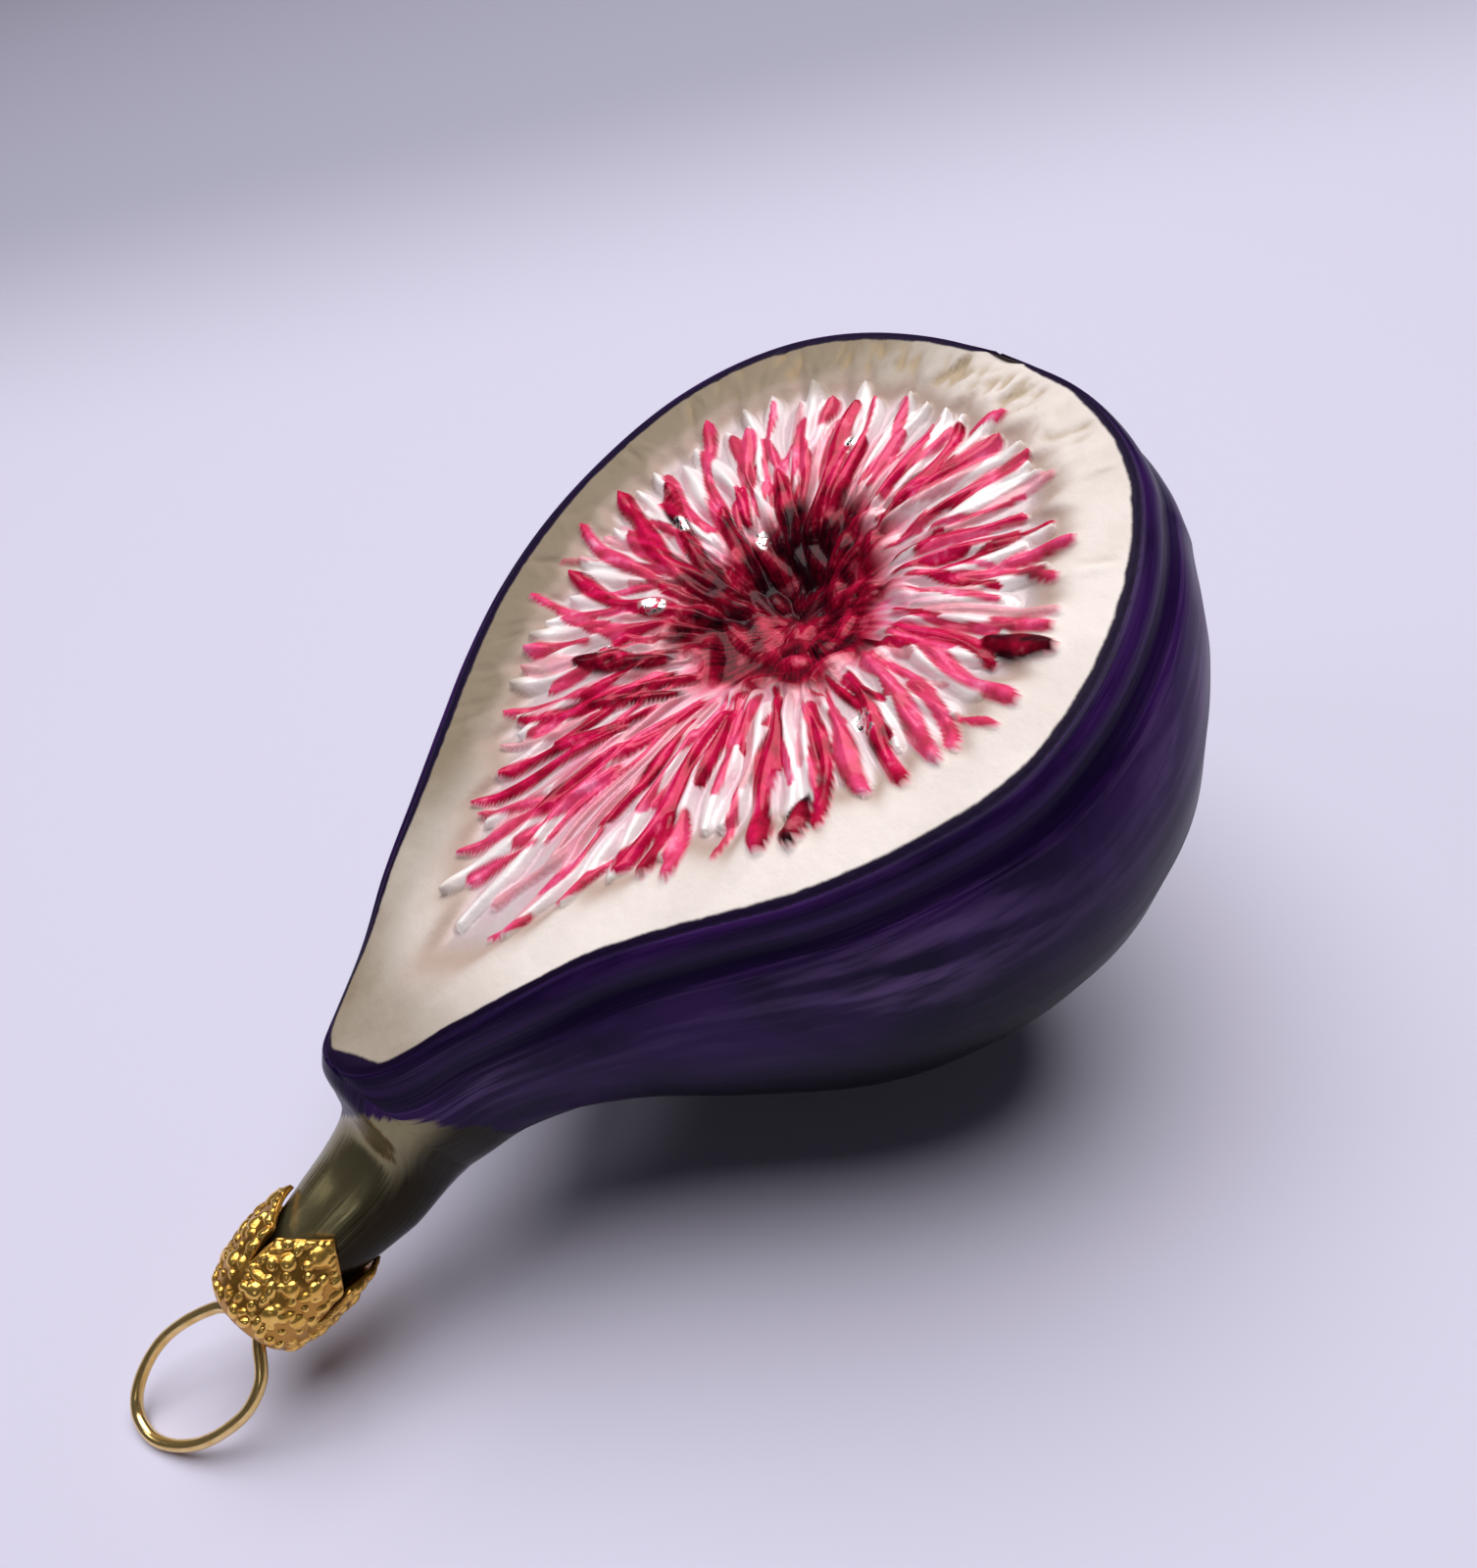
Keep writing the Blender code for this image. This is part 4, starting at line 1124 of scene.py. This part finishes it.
def paint_skin():
    made, tree, shader = new_material("skin_lacquer")
    edge = attribute(tree, "skin_edge_mm")
    brushed = attribute(tree, "brushed")
    under = attribute(tree, "under")
    # Strokes and clouds on coordinates that follow the brush.
    ways = {"X": "brush_along", "Y": "brush_across", "Z": "brush_side"}
    ways = {way: attribute(tree, name) for way, name in ways.items()}
    brush = add_node(tree, "ShaderNodeCombineXYZ", **ways).outputs["Vector"]
    strokes, stroke_height = mottle(tree, STROKE_LONGER, 1.3, 0.44, 0.66, 3.0, brush)
    clouds = mottle(tree, CLOUD_LONGER, 0.12, 0.38, 0.62, coordinates=brush)[0]
    # Purple: cloudy, lighter where it was brushed, with painted shade that turns it black
    # underneath.
    base = mix_colours(tree, clouds, PLUM_DARK, PLUM)
    lit = calculate(tree, "MULTIPLY_ADD", clouds, 0.05, brushed)
    lit = calculate(tree, "MULTIPLY", strokes, lit, clamp=True)
    base = mix_colours(tree, lit, base, PLUM_LIGHT)
    # Painted shade: black towards the bottom of the belly.
    base = mix_colours(tree, under, base, PLUM_SHADE_BLACK)
    # A painted highlight on the lip and painted shade in the groove, by the way down the skin in mm.
    lip = ease(tree, edge, 1.2, 2.4, 0.0, 1.0)
    lip = calculate(tree, "MULTIPLY", lip, ease(tree, edge, 2.6, 3.6, 1.0, 0.0))
    base = mix_colours(tree, calculate(tree, "MULTIPLY", lip, 0.5), base, PLUM)
    groove = calculate(tree, "COMPARE", edge, 3.9, 1.0)
    base = mix_colours(tree, calculate(tree, "MULTIPLY", groove, 0.7), base, PLUM_DARK)
    # The bronze of the neck starts on a ragged line, and painted shade darkens it on its right and
    # under it.
    ragged = calculate(tree, "MULTIPLY_ADD", stroke_height, 1.6, attribute(tree, "bronze_from"))
    bronze = ease(tree, ragged, 0.6, 1.1)
    shade = attribute(tree, "neck_dark")
    shade = calculate(tree, "MULTIPLY_ADD", strokes, 0.08, shade, clamp=True)
    olive = mix_colours(tree, shade, OLIVE, OLIVE_SHADE)
    base = mix_colours(tree, bronze, base, olive)
    tree.links.new(base, shader.inputs["Base Color"])
    tree.links.new(calculate(tree, "MULTIPLY", bronze, 0.8), shader.inputs["Metallic"])
    tree.links.new(ease(tree, bronze, 0.0, 1.0, 0.34, 0.21), shader.inputs["Roughness"])
    shader.inputs["Specular IOR Level"].default_value = 0.08
    bump = add_node(tree, "ShaderNodeBump", Height=stroke_height, Strength=0.2, Distance=0.0003)
    tree.links.new(bump.outputs["Normal"], shader.inputs["Normal"])
    return made


fig_glass.data.materials.append(paint_face())
fig_glass.data.materials.append(paint_skin())
print("glass finishes:", [finish.name for finish in fig_glass.data.materials])

# %% [markdown]
# ## The stamped cap
#
# A cap like this is punched from thin sheet: a crown that the wire goes through, and a wall cut
# into four pointed petals that hug the neck. The die leaves bosses, nuggets and a bead along every
# cut edge. The sheet is a grid bent round the cap's axis, outside and inside.

# %% Sizes of the cap
PETAL_COUNT = 4
CAP_SHEET = 0.4 * MM
CAP_TURN = math.radians(52)     # how far the petals are turned round the neck
CAP_TIP_AT = -9.0 * MM
CAP_SHOULDER_AT = -6.3 * MM
CAP_SLIT_AT = -2.8 * MM
SLIT_HALF_ANGLE = math.radians(5)
CROWN_RADII = [0.0, 1.3 * MM, 2.6 * MM, 3.4 * MM]
# The profile is (mm along the axis out of the mouth, radius), each boss (sideways, along, size).
CAP_PROFILE = in_mm([
    (0.9, 3.8),
    (0.2, 4.4),
    (-2.0, 5.1),
    (-5.0, 5.4),
    (-8.0, 5.05),
    (-9.0, 4.8),
])
BOSSES = in_mm([
    (0.0, -7.4, 0.85),
    (-1.6, -5.6, 0.65),
    (1.5, -5.3, 0.65),
    (0.0, -4.2, 0.7),
    (-2.6, -6.6, 0.55),
    (2.6, -6.6, 0.55),
    (-1.4, -8.7, 0.5),
    (1.4, -8.7, 0.5),
    (-2.2, -2.2, 0.75),
    (0.2, -1.6, 0.8),
    (2.3, -2.4, 0.7),
])
BOSS_HEIGHT = 0.35 * MM
CAP_COLUMNS = 320
CAP_OUTER_ROWS = 90
CAP_INNER_ROWS = 8
NUGGET_THROWS = 400
NUGGET_SPACING = 0.78 * MM
NUGGET_FULL = 0.25 * MM         # a nugget this high is fully bright


def cap_frame():
    """Matrix whose X points out along the cap's axis, Y right and Z up, from the neck's mouth."""
    out, up = neck_axis()
    x, z, radius = NECK_LINE[-1]
    turn = Matrix((out, Vector((0, -1, 0)), up)).transposed().to_4x4()
    return Matrix.Translation((x, 0, z)) @ turn


def petal_offset(angle):
    pitch = 2 * math.pi / PETAL_COUNT
    return (angle - CAP_TURN + pitch / 2) % pitch - pitch / 2


def petal_end(offset):
    side = math.pi / PETAL_COUNT - SLIT_HALF_ANGLE
    tip = CAP_TIP_AT + (CAP_SHOULDER_AT - CAP_TIP_AT) * np.abs(offset) / side
    past = np.abs(offset) - side
    slit = CAP_SHOULDER_AT + (CAP_SLIT_AT - CAP_SHOULDER_AT) * past / SLIT_HALF_ANGLE
    return np.where(np.abs(offset) < side, tip, slit)


# %% [markdown]
# ## Relief of the cap
#
# The relief is worked out as heights over the unrolled sheet. Bosses are domes, nuggets are smaller
# domes strewn with a seeded draw and kept apart, and a row of domes makes the bead along the edge.

# %% Raise the bosses and nuggets
BEAD_SPACING = 0.62 * MM
BEAD_SIZE = 0.30 * MM
BEAD_HEIGHT = 0.16 * MM
BEADS_INWARDS = 0.94            # how far in from the cut edge the beads sit
PETAL_RADIUS = 5.0 * MM


def dome(dx, dy, size, height):
    return height * np.sqrt(np.clip(1 - (dx ** 2 + dy ** 2) / size ** 2, 0, 1))


def edge_beads():
    """Centres of the beads along one petal's edge, as (sideways, along)."""
    side = math.pi / PETAL_COUNT - SLIT_HALF_ANGLE
    half = side * PETAL_RADIUS
    corners = [
        Vector((-half * 1.02, CAP_SLIT_AT)),
        Vector((-half, CAP_SHOULDER_AT)),
        Vector((0.0, CAP_TIP_AT)),
        Vector((half, CAP_SHOULDER_AT)),
        Vector((half * 1.02, CAP_SLIT_AT)),
    ]
    beads = []
    for start, end in zip(corners, corners[1:]):
        count = max(2, round((end - start).length / BEAD_SPACING))
        beads += [start.lerp(end, k / count) * BEADS_INWARDS for k in range(count)]
    return beads


def cap_relief(sideways, along):
    chance = random.Random(5)
    height = np.zeros_like(along)
    for at_side, at, size in BOSSES:
        height = np.maximum(height, dome(sideways - at_side, along - at, size, BOSS_HEIGHT))
    placed = [(at_side, at) for at_side, at, size in BOSSES]
    for _ in range(NUGGET_THROWS):
        at_side, at = chance.uniform(-3.8, 3.8) * MM, chance.uniform(-8.6, 0.4) * MM
        if min(math.hypot(at_side - a, at - b) for a, b in placed) < NUGGET_SPACING:
            continue
        placed.append((at_side, at))
        size, lean = chance.uniform(0.30, 0.46) * MM, chance.uniform(0, 3.14)
        stretch = chance.uniform(1.0, 1.7)
        dx, dy = sideways - at_side, along - at
        turned = dx * math.cos(lean) + dy * math.sin(lean)
        crossed = dy * math.cos(lean) - dx * math.sin(lean)
        height = np.maximum(height, dome(turned / stretch, crossed, size, size * 0.70))
    for bead in edge_beads():
        bump = dome(sideways - bead.x, along - bead.y, BEAD_SIZE, BEAD_HEIGHT)
        height = np.maximum(height, bump)
    return height


# %% [markdown]
# ## Bending the cap
#
# The rows of the grid run over the crown, down the outside to the cut edge, and back up the inside,
# so the sheet has its real thickness. How far each point is raised is kept as a mask for the gold.


# %% Bend the sheet into the cap
def make_cap():
    profile = np.array(CAP_PROFILE)[::-1]
    turn = np.linspace(0, 2 * np.pi, CAP_COLUMNS + 1)
    offset = petal_offset(turn)
    end = petal_end(offset)
    crown_at = CAP_PROFILE[0][0]
    rows = [(np.full_like(turn, crown_at), np.full_like(turn, radius)) for radius in CROWN_RADII]
    for layer in range(CAP_OUTER_ROWS):
        along = crown_at + (end - crown_at) * layer / (CAP_OUTER_ROWS - 1)
        radius = np.interp(along, profile[:, 0], profile[:, 1])
        inside = min(1.0, layer / 3, (CAP_OUTER_ROWS - 1 - layer) / 2)
        rows.append((along, radius + inside * cap_relief(offset * radius, along)))
    raised = [np.zeros_like(turn)] * len(CROWN_RADII)
    for along, radius in rows[len(CROWN_RADII):]:
        raised.append((radius - np.interp(along, profile[:, 0], profile[:, 1])) / NUGGET_FULL)
    inner_at = crown_at - CAP_SHEET
    for layer in range(CAP_INNER_ROWS, -1, -1):
        along = inner_at + (end - inner_at) * layer / CAP_INNER_ROWS
        rows.append((along, np.interp(along, profile[:, 0], profile[:, 1]) - CAP_SHEET))
    rows.append((np.full_like(turn, inner_at), np.zeros_like(turn)))
    local = np.array([
        np.stack([along, radius * np.sin(turn), radius * np.cos(turn)], axis=-1)
        for along, radius in rows
    ])
    raised += [np.zeros_like(turn)] * (len(rows) - len(raised))
    bm = bmesh.new()
    bm.verts.layers.float.new("raised")
    add_sheet(bm, local, {"raised": np.array(raised)}, 0)
    bmesh.ops.transform(bm, matrix=LYING @ cap_frame(), verts=bm.verts)
    bmesh.ops.remove_doubles(bm, verts=bm.verts, dist=MERGE_WITHIN)
    bmesh.ops.dissolve_degenerate(bm, edges=bm.edges, dist=DISSOLVE_WITHIN)
    bmesh.ops.recalc_face_normals(bm, faces=bm.faces)
    piece = object_from(bm, "gold_cap")
    print("cap:", count_triangles(piece), "triangles")
    return piece


gold_cap = make_cap()
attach(gold_cap, "root")
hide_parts("crown_cap")

# %% [markdown]
# ## The hanging wire
#
# One length of spring wire goes down one hole of the crown and up the other. Its loop leans to the
# left and rests its end on the table. A few points of the loop and of its two legs are enough, with
# one smooth curve through them. The legs are hidden in the neck, where the real ones spring apart.

# %% Sizes of the wire
WIRE_RADIUS = 0.53 * MM
LEG_SPACING = 3.3 * MM
LEG_LENGTH = 9.0 * MM
LEG_SPREAD = 3.7 * MM
# The loop's points are (mm out of the crown, mm to the right).
LOOP_OUTLINE = in_mm([
    (2.4, -3.3),
    (5.8, -5.0),
    (8.8, -5.8),
    (11.5, -5.7),
    (13.9, -4.8),
    (15.0, -3.3),
    (14.9, -1.1),
    (13.5, 1.0),
    (11.2, 2.9),
    (8.3, 4.2),
    (5.2, 4.8),
    (2.6, 4.1),
])
LOOP_STEPS = 10
LOOP_YAW = math.radians(-8)
LOOP_ROLL = math.radians(-12)
LOOP_CLEARANCE = 0.02 * MM


def wire_line(pitch):
    """The wire's middle line in the lying pose, with the loop bent down by pitch."""
    place = LYING @ cap_frame()
    crown_at = CAP_PROFILE[0][0]
    exit_frame = place @ Matrix.Rotation(LOOP_ROLL, 4, "X")
    middle = (LEG_SPREAD + LEG_SPACING) / 2
    legs = []
    for side in (-1, 1):
        legs.append([
            exit_frame @ Vector((crown_at - LEG_LENGTH, side * LEG_SPREAD / 2, 0)),
            exit_frame @ Vector((crown_at - LEG_LENGTH / 2, side * middle / 2, 0)),
            exit_frame @ Vector((crown_at - CAP_SHEET, side * LEG_SPACING / 2, 0)),
            exit_frame @ Vector((crown_at + CAP_SHEET, side * LEG_SPACING / 2, 0)),
        ])
    turn = Matrix.Rotation(pitch, 4, "Y") @ Matrix.Rotation(LOOP_YAW, 4, "Z")
    roll = Matrix.Rotation(LOOP_ROLL, 4, "X")
    loop_frame = place @ Matrix.Translation((crown_at, 0, 0)) @ turn @ roll
    loop = [loop_frame @ Vector((out, right, 0)) for out, right in LOOP_OUTLINE]
    return curve_through(legs[0] + loop + legs[1][::-1], LOOP_STEPS)


print("wire:", len(LOOP_OUTLINE), "points give the loop's outline")

# %% [markdown]
# ## Bending the wire
#
# The loop's droop is found by halving: it is bent down until its lowest point touches the table.
# A curve with a round bevel makes the wire, so it stays round at every bend. A mesh tube would do
# too, but a curve needs only its middle line.

# %% Bend the wire
DROOP_RANGE = (-30, 60)         # degrees that are tried
DROOP_HALVINGS = 30


def make_wire():
    low, high = (math.radians(degrees) for degrees in DROOP_RANGE)
    for _ in range(DROOP_HALVINGS):
        pitch = (low + high) / 2
        lowest = min(point.z for point in wire_line(pitch))
        if lowest > WIRE_RADIUS + LOOP_CLEARANCE:
            low = pitch
        else:
            high = pitch
    line = wire_line(pitch)
    curve = bpy.data.curves.new("gold_wire", "CURVE")
    curve.dimensions = "3D"
    spline = curve.splines.new("POLY")
    spline.points.add(len(line) - 1)
    for point, place in zip(spline.points, line):
        point.co = (*place, 1.0)
        point.radius = WIRE_RADIUS
    curve.bevel_depth = 1.0     # times each point's radius, so the curve's own box is true
    curve.bevel_resolution = 6
    curve.use_fill_caps = True
    piece = link_object("gold_wire", curve)
    print("wire: droop", round(math.degrees(pitch), 1), "degrees,", len(line), "points")
    return piece


gold_wire = make_wire()
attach(gold_wire, "root")
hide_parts("wire_loop")

# %% [markdown]
# ## Gold
#
# Both metal pieces are thinly gilded brass. The stamped cap is a warm, deep gold that is browner on
# its sheet between the raised bosses, nuggets and beads, and the drawn wire is paler and smoother.
# Both are mostly metal, with a fine mottle in colour and roughness. Not quite full metal keeps them
# golden under a dim world.

# %% Gild the cap and the wire
WARM_GOLD = (0.95, 0.60, 0.15)
DEEP_GOLD = (0.84, 0.47, 0.09)
BROWN_GOLD = (0.52, 0.26, 0.05)
PALE_GOLD = (0.88, 0.64, 0.28)
DULL_GOLD = (0.74, 0.50, 0.17)
WORN_ROUGHER = 0.12


def gild(name, bright, dark, roughness, scale, metal, hollow=None):
    made, tree, shader = new_material(name)
    spots = mottle(tree, EVEN, scale, 0.35, 0.65)[0]
    base = mix_colours(tree, spots, bright, dark)
    worn = ease(tree, spots, 0, 1, roughness, roughness + WORN_ROUGHER)
    if hollow:
        # The cap is browner where its sheet is not raised.
        raised = ease(tree, attribute(tree, "raised"), 0.0, 0.7)
        base = mix_colours(tree, raised, hollow, base)
    tree.links.new(base, shader.inputs["Base Color"])
    tree.links.new(worn, shader.inputs["Roughness"])
    shader.inputs["Metallic"].default_value = metal
    return made


stamped = gild(
    "stamped_gold", WARM_GOLD, DEEP_GOLD, roughness=0.20, scale=900, metal=0.86, hollow=BROWN_GOLD
)
drawn = gild("drawn_gold", PALE_GOLD, DULL_GOLD, roughness=0.15, scale=500, metal=0.88)
gold_cap.data.materials.append(stamped)
gold_wire.data.materials.append(drawn)
print("gold finishes:", stamped.name, drawn.name)

# %% [markdown]
# ## The floor
#
# The ornament lies on a pale lavender surface. One plane gives it, with painted shade that darkens
# its colour softly behind the ornament, by how far away it is along the camera's level way.

# %% Lay the floor
FLOOR_HALF = 0.75
FLOOR_PALE = (0.635, 0.617, 0.79)
FLOOR_FAR_SHADE = (0.39, 0.385, 0.51)
FAR_FROM = 0.17                 # metres past the ornament, along the view
FAR_TO = 0.34
view_level = Vector((math.cos(CAMERA_AZIMUTH), math.sin(CAMERA_AZIMUTH), 0))
view_right = Vector((view_level.y, -view_level.x, 0))
up = Vector((0, 0, 1))


def make_floor():
    bm = bmesh.new()
    bmesh.ops.create_grid(bm, x_segments=1, y_segments=1, size=FLOOR_HALF)
    floor = object_from(bm, "floor")
    made, tree, shader = new_material("floor_paint")
    place = add_node(tree, "ShaderNodeTexCoord").outputs["Object"]
    dot = {"operation": "DOT_PRODUCT"}
    away = add_node(tree, "ShaderNodeVectorMath", dot, s0=place, s1=view_level).outputs["Value"]
    # Painted shade: the floor darkens from FAR_FROM to FAR_TO past the ornament.
    far = ease(tree, away, FAR_FROM, FAR_TO)
    tree.links.new(mix_colours(tree, far, FLOOR_PALE, FLOOR_FAR_SHADE), shader.inputs["Base Color"])
    shader.inputs["Roughness"].default_value = 0.7
    floor.data.materials.append(made)
    return floor


print("floor:", make_floor().name, "reaches", FLOOR_HALF, "m each way")

# %% [markdown]
# ## The lights
#
# The shadow in the photo is soft and lies close under the belly, so the main light is one wide disk
# high overhead, a little behind. A small weak fill in front opens the dark skin, and a small glint
# from the left puts highlights on the ridges. The world stays dim, so the shadow keeps its depth.

# %% Hang the lights
LIGHT_TARGET = Vector((0, 0, 0.03))


def area_light(name, place, size, power, colour):
    data = bpy.data.lights.new(name, "AREA")
    data.shape = "DISK"
    data.size = size
    data.energy = power
    data.color = colour
    light = link_object(name, data)
    right, level, high = place
    light.location = right * view_right + level * view_level + high * up
    light.rotation_euler = (light.location - LIGHT_TARGET).to_track_quat("Z", "Y").to_euler()
    print("light:", name, power, "W")


# Each place is metres to the right, away from the camera, and up.
area_light("window", (0.07, 0.19, 0.95), 1.10, 13.0, (1.0, 0.98, 0.95))
area_light("fill", (-0.20, -0.70, 0.45), 0.22, 0.20, (0.95, 0.95, 1.0))
area_light("glint", (-0.42, 0.05, 0.45), 0.18, 0.22, (1.0, 0.98, 0.96))
world = bpy.data.worlds.new("soft_room")
world.use_nodes = True
background = world.node_tree.nodes["Background"]
background.inputs["Color"].default_value = (0.80, 0.79, 0.95, 1)
background.inputs["Strength"].default_value = 0.03
bpy.context.scene.world = world

# %% [markdown]
# ## The end
#
# The view layer is brought up to date. The dressed model has to fill the same box as the
# solids.

# %% Finish
bpy.context.view_layer.update()
